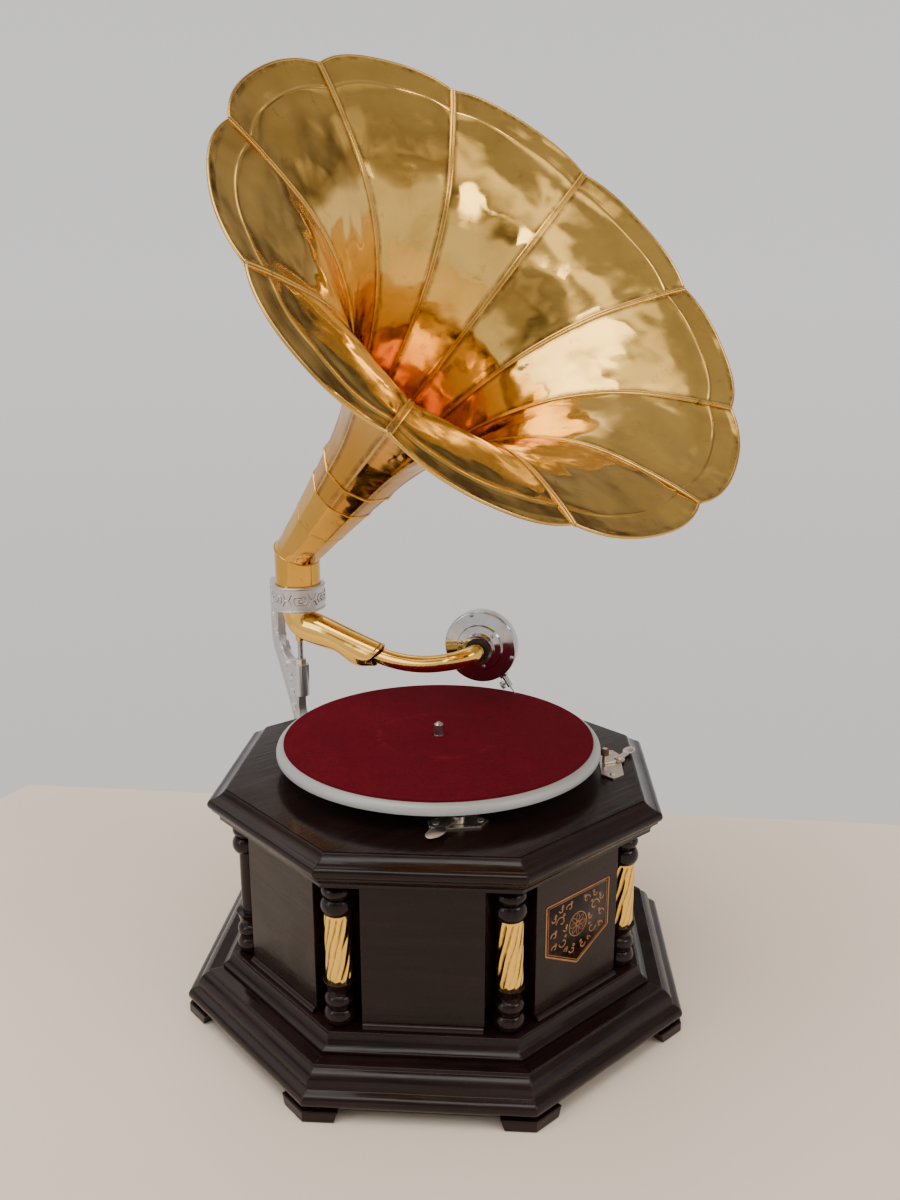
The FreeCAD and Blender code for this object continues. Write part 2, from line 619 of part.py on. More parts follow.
def stylus():
    """Needle chuck with its lever to the diaphragm, thumb screw and needle."""
    tip = STYLUS_OUT * NEEDLE_LENGTH
    chuck_end = STYLUS_OUT * (SOUNDBOX_R + 12.0)
    way = (tip - STYLUS_FOOT).normalize()
    side = UP.cross(way).normalize()
    bore_start = STYLUS_FOOT + way * ((chuck_end - STYLUS_FOOT).dot(way) - 9)
    length = (chuck_end - STYLUS_FOOT).dot(way)
    chuck = framed(rod(2.4, -2.5, length), STYLUS_FOOT, UP, way)
    knuckle = STYLUS_FOOT - STYLUS_OUT * 0.5 + UP * 5.4
    post = framed(block(-1.1, 1.1, -1.6, 1.6, 0, 6.4), STYLUS_FOOT - UP * 0.4, STYLUS_OUT, UP)
    reach = knuckle.dot(STYLUS_OUT) + 1.6
    lever = framed(block(-0.9, 0.9, -1.3, 1.3, 0, reach), knuckle, UP, STYLUS_OUT * -1)
    foot = rod(1.2, 3.8, knuckle.z + 0.9)
    bar = fused(chuck, post, lever, foot)
    bar = bar.cut(framed(rod(0.85, 0, 20), bore_start, UP, way))
    screw_at = STYLUS_FOOT + way * (length - 4.5)
    bar = bar.cut(framed(rod(1.0, 0.8, 4), screw_at, way, side))
    knob = fused(rod(1.0, 0.9, 4.4), rod(3.4, 4.4, 6.8))
    grooves = [rod(0.5, 4.3, 7, p.x, p.y) for p in ring_places(12, 3.5, 0)]
    knob = knob.cut(Part.makeCompound(grooves))
    shank = (tip - bore_start).Length
    needle = fused(rod(0.8, 0.2, shank - 7), Part.makeCone(0.8, 0.12, 7, V(0, 0, shank - 7)))
    keep("stylus_bar", soundbox_frame(bar))
    keep("thumb_screw", soundbox_frame(framed(knob, screw_at, way, side)))
    keep("needle", soundbox_frame(framed(needle, bore_start, UP, way)))


# ---------------------------------------------------------------- the horn
HORN_AT = V(0, PIVOT_Y, MITRE_Z)
HORN_DIR = V(0, -math.cos(math.radians(HORN_RISE)), math.sin(math.radians(HORN_RISE)))
BELL = [(PETAL_START, PETAL_START_R), (131, 32.0), (150, 34.5), (200, 46.0), (250, 66.0), (290, 95.0),
        (315, 125.0), (332, 158.0), (345, 191.0), (349.5, 206.0)]


def horn_frame(shape):
    """Stands a shape drawn along Z on the horn's axis, its +X towards the top of the mouth."""
    return framed(shape, HORN_AT, UP, HORN_DIR)


def mitre_half(way):
    """A big block on one side of the mitre plane."""
    normal = (UP + HORN_DIR).normalize() * way
    return framed(block(-60, 60, -60, 60, 0, 120), HORN_AT, V(1, 0, 0), normal)


def horn_neck():
    """The upright socket, cut on the mitre, and the two cones of the neck with their ring beads."""
    r, wall = HORN_TUBE_R, HORN_WALL
    low = RING_Z + RING_LIP + SLIDE_GAP
    socket = ring(r, r - wall, low, MITRE_Z + 40, 0, PIVOT_Y).cut(mitre_half(1))
    keep("horn_socket", socket)
    joint, joint_r = NECK_JOINT, NECK_JOINT_R
    lower = lathe([(r - wall, -40), (r, -40), (r, NECK_START), (joint_r, joint), (joint_r - wall, joint),
                   (r - wall, NECK_START)])
    keep("horn_neck", horn_frame(lower).cut(mitre_half(-1)))
    upper = lathe([(joint_r - wall, joint), (joint_r, joint), (PETAL_START_R, PETAL_START),
                   (PETAL_START_R - wall, PETAL_START)])
    keep("horn_neck", horn_frame(upper))
    steps = [(NECK_START, r), (joint, joint_r), (PETAL_START, PETAL_START_R)]
    for (below, below_r), (s, radius) in zip(steps, steps[1:]):
        low_r = radius - 4.8 * (radius - below_r) / (s - below)
        bead = lathe([(low_r, s - 4.8), ((radius + 1.3, s - 2.4), (radius, s))])
        keep("horn_seams", horn_frame(bead))


def bell_edge(offset, start, end):
    """The bell's flare from a start to an end, moved out by an offset, as a smooth edge."""
    line = Part.BSplineCurve()
    line.interpolate([V(r + offset, 0, s) for s, r in BELL[start:end]])
    return line.toShape()


def bell_shell(inside, outside, angle):
    """The flare turned through an angle about the horn's axis, centred on +X."""
    near, far = bell_edge(inside, 0, None), bell_edge(outside, 0, None)
    ends = [edge.valueAt(edge.FirstParameter) for edge in (near, far)]
    tips = [edge.valueAt(edge.LastParameter) for edge in (near, far)]
    face = Part.Face(Part.Wire([near, Part.makeLine(tips[0], tips[1]), far, Part.makeLine(ends[1], ends[0])]))
    return spun(face.revolve(V(), UP, angle), -angle / 2)


def petals():
    """Ten gores with scalloped ends and a folded seam between each pair."""
    half = math.pi / PETALS
    step = math.degrees(2 * half)
    gap = SEAM_WIDTH / 2
    apex = gap / math.sin(half)
    along = math.sqrt(RIM_NOTCH_R ** 2 - gap ** 2)
    notch = (along * math.cos(half) + gap * math.sin(half), along * math.sin(half) - gap * math.cos(half))
    plan = [(apex, 0), (notch[0], -notch[1]), ((RIM_TIP_R, 0), notch)]
    gore = bell_shell(0, HORN_WALL, step + 4).common(prism(plan, 90, 400))
    strip = bell_shell(-SEAM_PROUD, HORN_WALL + SEAM_PROUD, 16)
    strip = strip.common(block(10, RIM_NOTCH_R + 0.8, -gap, gap, 90, 400))
    for k in range(PETALS):
        keep("horn_petals", horn_frame(spun(gore, k * step)))
        keep("horn_seams", horn_frame(spun(strip, (k + 0.5) * step)))


# ---------------------------------------------------------------- the platter
def platter():
    r, z = PLATTER_R, PLATTER_Z
    low = z - PLATTER_THICK
    steps = [
        (SEAT_R + FIT_GAP, z), (FELT_R, z), ((r - 1.6, z - 1.8), (r, z - 5.4)), (r, RIM_Z),
        (r - 2, RIM_Z), ((r - 2.8, z - 4.2), (FELT_R, low)), (15, low), (15, z - 11.8),
        (SEAT_R + FIT_GAP, z - 11.8)]
    keep("platter", lathe(steps))
    keep("felt", ring(FELT_R - 0.2, SEAT_R + 0.4, z, FELT_Z))


def spindle():
    """Spindle with its seat for the platter, its wheel for the governor and its driving pinion."""
    seat = PLATTER_Z - 11.8
    tip = FELT_Z + SPINDLE_STAND
    shaft = fused(rod(SPINDLE_SHAFT_R, SHAFT_FOOT_Z, seat), rod(9, seat - 4, seat), rod(SEAT_R, seat, FELT_Z),
                  rod(SPINDLE_R, FELT_Z - 1, tip - 1.6),
                  Part.makeCone(SPINDLE_R, SPINDLE_R - 1.8, 1.6, V(0, 0, tip - 1.6)))
    pinion = spur(SPINDLE_TEETH, MODULE, 6.0, SPINDLE_SHAFT_R - 1, DRIVE_ANGLE)
    keep("spindle", fused(shaft, pinion.translated(V(0, 0, WHEEL_Z - 1))))
    fast = spur(FAST_TEETH, FINE_MODULE, 3.0, SPINDLE_SHAFT_R, GOVERNOR_ANGLE)
    hub = ring(8, SPINDLE_SHAFT_R, 0, 7)
    keep("spindle_wheel", fused(fast, hub).translated(V(0, 0, FAST_Z)))


# ---------------------------------------------------------------- the spring motor
def spur(teeth, module, thick, bore, phase):
    """A stub-tooth wheel on Z with a tooth centred on the phase angle."""
    pitch_r = teeth * module / 2
    tip_r, root_r = pitch_r + 0.8 * module, pitch_r - 1.15 * module
    step = 2 * math.pi / teeth
    rim = []
    for i in range(teeth):
        middle = math.radians(phase) + i * step
        for radius, share in ((root_r, -0.27), (tip_r, -0.1), (tip_r, 0.1), (root_r, 0.27)):
            angle = middle + share * step
            rim.append((radius * math.cos(angle), radius * math.sin(angle)))
    return prism(rim, 0, thick).cut(rod(bore, -1, thick + 1))


def bevel(teeth, other, phase):
    """A bevel wheel with its cones' point at the origin and its axis along +Z."""
    pitch_r, depth = teeth * BEVEL_MODULE / 2, other * BEVEL_MODULE / 2
    cone = math.hypot(pitch_r, depth)
    pitch_angle = math.atan2(pitch_r, depth)
    tip_r = depth * math.tan(pitch_angle + 0.8 * BEVEL_MODULE / cone)
    root_r = depth * math.tan(pitch_angle - 1.25 * BEVEL_MODULE / cone)
    step = 2 * math.pi / teeth
    ends = []
    for scale in (1.0, 0.72):
        rim = []
        for i in range(teeth):
            middle = math.radians(phase) + i * step
            for radius, share in ((root_r, -0.26), (tip_r, -0.1), (tip_r, 0.1), (root_r, 0.26)):
                angle = middle + share * step
                rim.append(V(radius * math.cos(angle), radius * math.sin(angle), depth) * scale)
        ends.append(Part.makePolygon(rim + [rim[0]]))
    return Part.makeLoft(ends, True, True)


def meeting(radius_a, radius_b, ax, ay, bx, by):
    """A point at given distances from two axes, on the +Y side of the line between them."""
    apart = math.hypot(bx - ax, by - ay)
    along = (radius_a ** 2 - radius_b ** 2 + apart ** 2) / (2 * apart)
    up = math.sqrt(radius_a ** 2 - along ** 2)
    ux, uy = (bx - ax) / apart, (by - ay) / apart
    return ax + along * ux - up * uy, ay + along * uy + up * ux


DRIVE_REACH = MODULE * (WHEEL_TEETH + SPINDLE_TEETH) / 2
BARREL_REACH = MODULE * (BARREL_TEETH + DRIVE_TEETH) / 2
DRIVE_X, DRIVE_Y = meeting(DRIVE_REACH, BARREL_REACH, 0, 0, BARREL_X, 0)
DRIVE_ANGLE = math.degrees(math.atan2(DRIVE_Y, DRIVE_X))
BARREL_ANGLE = math.degrees(math.atan2(DRIVE_Y, DRIVE_X - BARREL_X))
GOVERNOR_ANGLE = 225.0
GOVERNOR_REACH = FINE_MODULE * (FAST_TEETH + GOVERNOR_TEETH) / 2
GOVERNOR_AT = heading(GOVERNOR_ANGLE) * GOVERNOR_REACH
BARREL_Z = CRANK_Z + 22.0
LID_Z = BARREL_Z + BARREL_HEIGHT
WHEEL_Z = TOP_PLATE_Z - 6.0
FAST_Z = CRANK_Z + 2.0
ARBOR_R = 5.0
DRIVE_R = 2.5
GOVERNOR_R = 1.5


def pillar_places():
    return [(-4, -42), (-42, 44), (98, -40), (98, 42)]


def motor_shafts():
    """The upright axes that turn in the two plates: place and radius."""
    return [(0, 0, SPINDLE_SHAFT_R), (DRIVE_X, DRIVE_Y, DRIVE_R), (BARREL_X, 0, ARBOR_R),
            (GOVERNOR_AT.x, GOVERNOR_AT.y, GOVERNOR_R)]


def motor_frame():
    """Two steel plates on pillars, hung from the motor board by bolts and distance sleeves."""
    bush = 2.6
    for name, low in (("motor_top_plate", TOP_PLATE_Z), ("motor_bottom_plate", LOW_PLATE_Z)):
        plate = block(-50, 106, -48, 50, low, low + PLATE_THICK)
        plate = plate.makeChamfer(13, [e for e in plate.Edges if abs(e.tangentAt(e.FirstParameter).z) > 0.9])
        for x, y, radius in motor_shafts():
            plate = plate.cut(rod(radius + bush, low - 1, low + PLATE_THICK + 1, x, y))
        for x, y in pillar_places():
            plate = plate.cut(rod(2.5, low - 1, low + PLATE_THICK + 1, x, y))
        if low == TOP_PLATE_Z:
            plate = fused(plate, rod(2.0, low - 9, low + 1, *CLICK_AT))
        keep(name, plate)
    for x, y, radius in motor_shafts():
        collar = ring(radius + bush, radius + FIT_GAP, TOP_PLATE_Z, TOP_PLATE_Z + PLATE_THICK, x, y)
        keep("plate_bushes", collar)
        cup = rod(radius + bush, LOW_PLATE_Z - 2, LOW_PLATE_Z + PLATE_THICK, x, y)
        keep("plate_bushes", cup.cut(rod(radius + FIT_GAP, LOW_PLATE_Z - 1, LOW_PLATE_Z + 9, x, y)))
    for x, y in pillar_places():
        post = rod(4, LOW_PLATE_Z + PLATE_THICK, TOP_PLATE_Z, x, y)
        post = fused(post, rod(2.5, LOW_PLATE_Z, LOW_PLATE_Z + PLATE_THICK + 1, x, y))
        keep("motor_pillars", post.cut(rod(2.5, TOP_PLATE_Z - 12, TOP_PLATE_Z + 1, x, y)))
        keep("motor_pillars", ring(6, 2.5, TOP_PLATE_Z + PLATE_THICK, BOARD_Z, x, y))
        bolt = fused(rod(2.5, TOP_PLATE_Z - 12, TOP_Z, x, y), rod(6, TOP_Z, TOP_Z + 3.2, x, y))
        keep("motor_bolts", bolt.cut(block(x - 6, x + 6, y - 0.7, y + 0.7, TOP_Z + 1.8, TOP_Z + 4)))
    stand = block(100, 105, -9, 9, LOW_PLATE_Z + PLATE_THICK, CRANK_Z + 9)
    bore = Part.makeCylinder(CRANK_R + FIT_GAP, 20, V(95, 0, CRANK_Z), V(1, 0, 0))
    keep("crank_bearing", stand.cut(bore))


def mainspring():
    """The coiled ribbon, from the arbor's hub out to the barrel's wall."""
    turns, inner, outer, thick = 9, 8.2, BARREL_R - 3.0, 1.0
    edges = []
    for shift in (0.0, thick):
        line = []
        for i in range(turns * 12 + 1):
            share = i / (turns * 12)
            angle = share * turns * 2 * math.pi
            radius = inner + (outer - inner - thick) * share + shift
            line.append(V(radius * math.cos(angle), radius * math.sin(angle), 0))
        ribbon = Part.BSplineCurve()
        ribbon.interpolate(line)
        edges.append((ribbon.toShape(), line[0], line[-1]))
    (near, a, b), (far, c, d) = edges
    face = Part.Face(Part.Wire([near, Part.makeLine(b, d), far, Part.makeLine(c, a)]))
    return face.extrude(V(0, 0, BARREL_HEIGHT - 4)).translated(V(BARREL_X, 0, BARREL_Z + 3))


def barrel():
    drum = lathe([(ARBOR_R + SLIDE_GAP, 0), (BARREL_R, 0), (BARREL_R, BARREL_HEIGHT),
                  (BARREL_R - 2, BARREL_HEIGHT), (BARREL_R - 2, 2), (ARBOR_R + SLIDE_GAP, 2)])
    keep("spring_barrel", drum.translated(V(BARREL_X, 0, BARREL_Z)))
    lid = spur(BARREL_TEETH, MODULE, 4.0, ARBOR_R + SLIDE_GAP, BARREL_ANGLE)
    keep("barrel_wheel", lid.translated(V(BARREL_X, 0, LID_Z)))
    keep("mainspring", mainspring())


def winding_arbor():
    """Arbor through the barrel, with the hub that hooks the spring, bevel wheel and ratchet wheel."""
    top_z = TOP_PLATE_Z + PLATE_THICK
    hub = rod(7.4, BARREL_Z + 2.6, LID_Z - 0.6, BARREL_X, 0)
    keep("barrel_arbor", fused(rod(ARBOR_R, SHAFT_FOOT_Z, top_z, BARREL_X, 0), hub))
    wheel = bevel(BEVEL_WHEEL_TEETH, BEVEL_PINION_TEETH, 0.0)
    rim_z = BEVEL_PINION_TEETH * BEVEL_MODULE / 2
    back = rod(24, rim_z, rim_z + 3)
    wheel = fused(wheel, back).cut(rod(ARBOR_R, 0, 40))
    keep("bevel_wheel", wheel.translated(V(BARREL_X, 0, CRANK_Z)))
    rim = []
    for i in range(12):
        for radius, degrees in ((14, 30 * i), (11, 30 * i + 4)):
            rim.append((radius * math.cos(math.radians(degrees)), radius * math.sin(math.radians(degrees))))
    ratchet = prism(rim, 0, 3).cut(rod(ARBOR_R, -1, 4))
    keep("ratchet_wheel", ratchet.translated(V(BARREL_X, 0, LID_Z + 5)))


CLICK_AT = (BARREL_X + 20.7, -17.4)


def click():
    """The pawl on its stud under the top plate; it rests just clear of the ratchet's tips."""
    z = LID_Z + 5
    x, y = CLICK_AT
    beak = prism([(BARREL_X + 3.6, -14.6), (BARREL_X + 10.5, -14.9), (x, y + 3.4), (x, y - 3.4),
                  (BARREL_X + 8.5, -20.0)], z, z + 3)
    body = fused(beak, rod(4, z, z + 3, x, y))
    keep("click_pawl", body.cut(rod(2.0 + FIT_GAP, z - 1, z + 4, x, y)))


def drive_arbor():
    x, y = DRIVE_X, DRIVE_Y
    shaft = rod(DRIVE_R, SHAFT_FOOT_Z, TOP_PLATE_Z + PLATE_THICK, x, y)
    pinion = spur(DRIVE_TEETH, MODULE, 5.4, DRIVE_R - 1, BARREL_ANGLE + 180 + 180 / DRIVE_TEETH)
    keep("drive_arbor", fused(shaft, pinion.translated(V(x, y, LID_Z - 0.8))))
    wheel = spur(WHEEL_TEETH, MODULE, 3.0, DRIVE_R, DRIVE_ANGLE + 180 + 180 / WHEEL_TEETH)
    keep("drive_wheel", wheel.translated(V(x, y, WHEEL_Z)))


def governor():
    """Ball governor: a pinion, a fixed collar, three weights on leaf springs and a sliding disc."""
    x, y = GOVERNOR_AT.x, GOVERNOR_AT.y
    pinion = spur(GOVERNOR_TEETH, FINE_MODULE, 5.0, GOVERNOR_R, GOVERNOR_ANGLE + 180 + 180 / GOVERNOR_TEETH)
    shaft = rod(GOVERNOR_R, SHAFT_FOOT_Z, TOP_PLATE_Z + PLATE_THICK, x, y)
    keep("governor_shaft", fused(shaft, pinion.translated(V(x, y, FAST_Z - 1))))
    low, high = FAST_Z + 8, GOVERNOR_DISC_Z
    keep("governor_collars", ring(5, GOVERNOR_R, low, low + 5, x, y))
    disc = fused(ring(5, GOVERNOR_R, high - 5, high, x, y), ring(14, GOVERNOR_R, high, high + 2, x, y))
    keep("governor_collars", disc)
    middle = (low + high) / 2
    for i in range(3):
        ball = Part.makeSphere(4.5, V(13, 0, middle)).cut(block(0, 11.2, -6, 6, middle - 6, middle + 6))
        leaf = outline([(5, low + 1), (5, low + 4), (10.6, middle - 4), (10.6, middle + 4), (5, high - 4),
                        (5, high - 1), (11.2, middle + 4.4), (11.2, middle - 4.4)])
        leaf = leaf.translated(V(0, -2.5, 0)).extrude(V(0, 5, 0))
        keep("governor_weights", spun(ball, 120 * i).translated(V(x, y, 0)))
        keep("governor_weights", spun(leaf, 120 * i).translated(V(x, y, 0)))


GOVERNOR_DISC_Z = TOP_PLATE_Z - 14.0


# ---------------------------------------------------------------- the crank
def along_x(shape):
    return framed(shape, V(0, 0, CRANK_Z), V(0, 1, 0), V(1, 0, 0))


def crank():
    """Drawn with its axis along Z and its arm towards +X, then laid along +X with the arm to +Y."""
    arm_x = CRANK_ARM_X
    inner = BARREL_X + 24
    shaft = rod(CRANK_R, inner, arm_x + 6)
    arm = prism([(-7, -7), (CRANK_THROW, -5.5), ((CRANK_THROW + 5.5, 0), (CRANK_THROW, 5.5)), (-7, 7)],
                arm_x, arm_x + 6)
    body = fused(shaft, rod(9, arm_x - 1, arm_x + 7), arm).cut(rod(3.0, arm_x - 2, arm_x + 8, CRANK_THROW, 0))
    keep("crank_arm", along_x(body))
    start = arm_x + 8
    end = start + GRIP_LENGTH
    pin = fused(rod(3.0, arm_x, end, CRANK_THROW, 0), rod(6.0, end + SLIDE_GAP, end + 3, CRANK_THROW, 0),
                rod(3.0, end - 1, end + 1, CRANK_THROW, 0))
    keep("grip_pin", along_x(pin))
    grip = lathe([(3 + SLIDE_GAP, start), (7.5, start), (7.5, start + 4), ((12.4, start + 40), (9, end - 4)),
                  ((8.4, end - 1), (6.5, end)), (3 + SLIDE_GAP, end)])
    keep("crank_grip", along_x(grip.translated(V(CRANK_THROW, 0, 0))))
    pinion = framed(bevel(BEVEL_PINION_TEETH, BEVEL_WHEEL_TEETH, 180 / BEVEL_PINION_TEETH),
                    V(BARREL_X, 0, CRANK_Z), V(0, 0, 1), V(1, 0, 0))
    keep("bevel_pinion", pinion.cut(along_x(rod(CRANK_R, inner - 5, inner + 30))))
    plate = lathe([(CRANK_R + SLIDE_GAP, PANEL_FACE), (17, PANEL_FACE), (17, PANEL_FACE + 1.5),
                   ((14.5, PANEL_FACE + 3.6), (9, PANEL_FACE + 4)), (9, PANEL_FACE + 8),
                   (CRANK_R + SLIDE_GAP, PANEL_FACE + 8)])
    plate = along_x(plate)
    for at in escutcheon_screw_places():
        pin = screw(at + V(3.2, 0, 0), V(1, 0, 0), 2.2, 1.2, 11, head=1.4)
        plate = plate.cut(pin)
        keep("wood_screws", pin)
    keep("escutcheon", plate)


def escutcheon_screw_places():
    return [V(PANEL_FACE, p.x, CRANK_Z + p.y) for p in ring_places(3, 12.5, 90)]


# ---------------------------------------------------------------- speed and brake controls
def control_frame(x, y):
    """Outward and rim-ward directions at a control, and its distance from the turntable's axis."""
    out = V(x, y, 0).normalize()
    return out, V(-out.y, out.x, 0)


def plate_points(centre, along, out, length, point_in):
    half, side = length / 2, CONTROL_WIDTH / 2
    spots = [(-half, 0), (-half + point_in, -side), (half - 8, -side), (half, -side + 5), (half, side - 5),
             (half - 8, side), (-half + point_in, side)]
    return [tuple((centre + along * a + out * b))[:2] for a, b in spots]


def control_layout():
    """Centre, long direction, outward direction, length and point of the two plates."""
    brake_out, brake_along = control_frame(95, -97.5)
    speed_out, speed_along = control_frame(SPEED_X, SPEED_Y)
    return [(brake_out * 135.5, brake_along, brake_out, 56.0, 8.0),
            (speed_out * 112.0, speed_along * -1, speed_out, 42.0, 7.0)]


def control_screw_places():
    spots = []
    for centre, along, _, length, _ in control_layout():
        for share in (-0.36, 0.38):
            at = centre + along * (length * share)
            spots.append(V(at.x, at.y, TOP_Z))
    return spots


def controls():
    """Plates, screws and the two levers; the speed lever's pin reaches down to the governor."""
    low = TOP_Z
    high = TOP_Z + CONTROL_PLATE
    plates = []
    for centre, along, out, length, point_in in control_layout():
        plates.append(prism(plate_points(centre, along, out, length, point_in), low, high))
    plates[0] = plates[0].cut(rod(1.5 + FIT_GAP, low - 1, high + 1, BRAKE_X, BRAKE_Y))
    plates[1] = plates[1].cut(rod(3.0 + SLIDE_GAP, low - 1, high + 1, SPEED_X, SPEED_Y))
    for at in control_screw_places():
        plates = [p.cut(rod(1.1, low - 1, high + 1, at.x, at.y)) for p in plates]
        keep("wood_screws", screw(at + UP * CONTROL_PLATE, UP, 2.3, 1.1, 9, head=1.5))
    keep("control_plates", *plates)
    speed_lever(high + SLIDE_GAP)
    brake_lever(high + SLIDE_GAP)


def speed_lever(z):
    """Finger tab, hub and pin above the board; regulator arm and felt pad over the governor's disc."""
    out = heading(194.0)
    hub = V(SPEED_X, SPEED_Y, 0)
    tab = Part.makeSphere(1.0).transformGeometry(scaling(10.0, 5.6, 1.1)).translated(V(27, 0, z + 3.2))
    blade = prism([(0, -2.6), (20, -2.0), (20, 2.0), (0, 2.6)], z + 2.2, z + 3.8)
    lever = spun(fused(blade, tab), 194.0).translated(hub)
    knob = rod(4.5, z, z + 5, SPEED_X, SPEED_Y)
    arm_z = GOVERNOR_DISC_Z + 3.6
    pin = rod(3.0, arm_z, z + 1, SPEED_X, SPEED_Y)
    aim = math.degrees(math.atan2(GOVERNOR_AT.y - SPEED_Y, GOVERNOR_AT.x - SPEED_X))
    reach = math.hypot(GOVERNOR_AT.y - SPEED_Y, GOVERNOR_AT.x - SPEED_X) - 9.0
    arm = spun(prism([(0, -4), (reach, -3), (reach, 3), (0, 4)], arm_z, arm_z + 2), aim).translated(hub)
    keep("speed_lever", fused(lever, knob, pin, rod(5, arm_z, arm_z + 4, SPEED_X, SPEED_Y), arm))
    pad = hub + heading(aim) * (reach - 3)
    keep("speed_lever", rod(2.6, GOVERNOR_DISC_Z + 2 + SLIDE_GAP, arm_z, pad.x, pad.y))


def scaling(x, y, z):
    return FreeCAD.Matrix(x, 0, 0, 0, 0, y, 0, 0, 0, 0, z, 0, 0, 0, 0, 1)


def brake_lever(z):
    """A hooked lever on a shouldered screw; its leather shoe lies beside the platter's rim."""
    shoe_at = heading(-46.2) * (PLATTER_R + 3.6)
    tab_at = V(123.0, -91.5, 0)
    pivot = V(BRAKE_X, BRAKE_Y, 0)
    shoe_way = math.degrees(math.atan2(shoe_at.y - BRAKE_Y, shoe_at.x - BRAKE_X))
    tab_way = math.degrees(math.atan2(tab_at.y - BRAKE_Y, tab_at.x - BRAKE_X))
    inner = spun(prism([(0, -2.6), ((shoe_at - pivot).Length + 1, -1.6), ((shoe_at - pivot).Length + 1, 1.6),
                        (0, 2.6)], z, z + 1.6), shoe_way).translated(pivot)
    outer = spun(prism([(0, -2.6), (17, -2.0), (17, 2.0), (0, 2.6)], z, z + 1.6), tab_way).translated(pivot)
    tab = Part.makeSphere(1.0).transformGeometry(scaling(7.5, 4.4, 1.2)).translated(V(21, 0, z + 1.4))
    tab = spun(tab, tab_way).translated(pivot)
    post = rod(1.9, z + 1, RIM_Z + 1.2, shoe_at.x, shoe_at.y)
    lever = fused(inner, outer, tab, post, rod(5, z, z + 1.6, BRAKE_X, BRAKE_Y))
    keep("brake_lever", lever.cut(rod(1.5 + SLIDE_GAP, z - 1, z + 3, BRAKE_X, BRAKE_Y)))
    shoe = ring(3.2, 1.9, RIM_Z + 1.2 - 5.4, RIM_Z + 1.0, shoe_at.x, shoe_at.y)
    keep("brake_shoe", shoe)
    keep("wood_screws", screw(V(BRAKE_X, BRAKE_Y, z + 1.6 + SLIDE_GAP), UP, 3.4, 1.5, 12, head=1.8))


def build():
    for make in (feet, plinth, panels, corner_posts, columns, top, bracket, pivot, tonearm, gooseneck,
                 soundbox, stylus, horn_neck, petals, platter, spindle, motor_frame, barrel,
                 winding_arbor, click, drive_arbor, governor, crank, controls):
        make()
    os.makedirs("parts", exist_ok=True)
    for name, solids in PARTS.items():
        single = [solid for shape in solids for solid in shape.Solids]
        shape = single[0] if len(single) == 1 else Part.makeCompound(single)
        shape.exportStep(os.path.join("parts", name + ".step"))


build()
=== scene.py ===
"""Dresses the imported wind-up phonograph: wooden case, turntable, tone arm and brass flower horn."""
import logging
import math
from dataclasses import dataclass, field
from enum import Enum
from typing import Callable, Iterable, Optional, Sequence

import bpy
import numpy as np
from mathutils import Matrix, Vector, noise


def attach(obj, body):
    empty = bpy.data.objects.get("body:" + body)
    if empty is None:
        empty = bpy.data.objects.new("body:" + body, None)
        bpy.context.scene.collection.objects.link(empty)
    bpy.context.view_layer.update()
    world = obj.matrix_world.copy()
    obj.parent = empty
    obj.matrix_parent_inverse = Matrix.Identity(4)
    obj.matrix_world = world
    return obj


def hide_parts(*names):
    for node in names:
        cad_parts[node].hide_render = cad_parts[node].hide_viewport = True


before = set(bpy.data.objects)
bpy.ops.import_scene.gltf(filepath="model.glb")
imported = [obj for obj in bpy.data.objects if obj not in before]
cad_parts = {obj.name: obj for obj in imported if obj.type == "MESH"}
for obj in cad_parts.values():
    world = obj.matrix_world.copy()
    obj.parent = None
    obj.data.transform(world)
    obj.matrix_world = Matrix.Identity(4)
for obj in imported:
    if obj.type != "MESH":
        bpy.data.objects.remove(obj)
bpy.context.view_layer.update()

LOG = logging.getLogger("phonograph")
MM = 0.001
SIDES = 8
ARC_STEPS = 10
SOFT_BEND = 24  # degrees; blunter corners of an outline stay as they are
SIDE_ANGLE = math.tau / SIDES
HALF_SIDE = SIDE_ANGLE / 2

Colour = tuple[float, float, float]
Point2 = tuple[float, float]
Socket = bpy.types.NodeSocket


# ------------------------------------------------------------------ material sheets
class Grain(Enum):
    """Which way a wooden piece's grain runs."""

    AROUND = "around the octagon"
    UPRIGHT = "up the piece"
    ACROSS = "straight across the board"
    UNWRAPPED = "along the piece's own length"


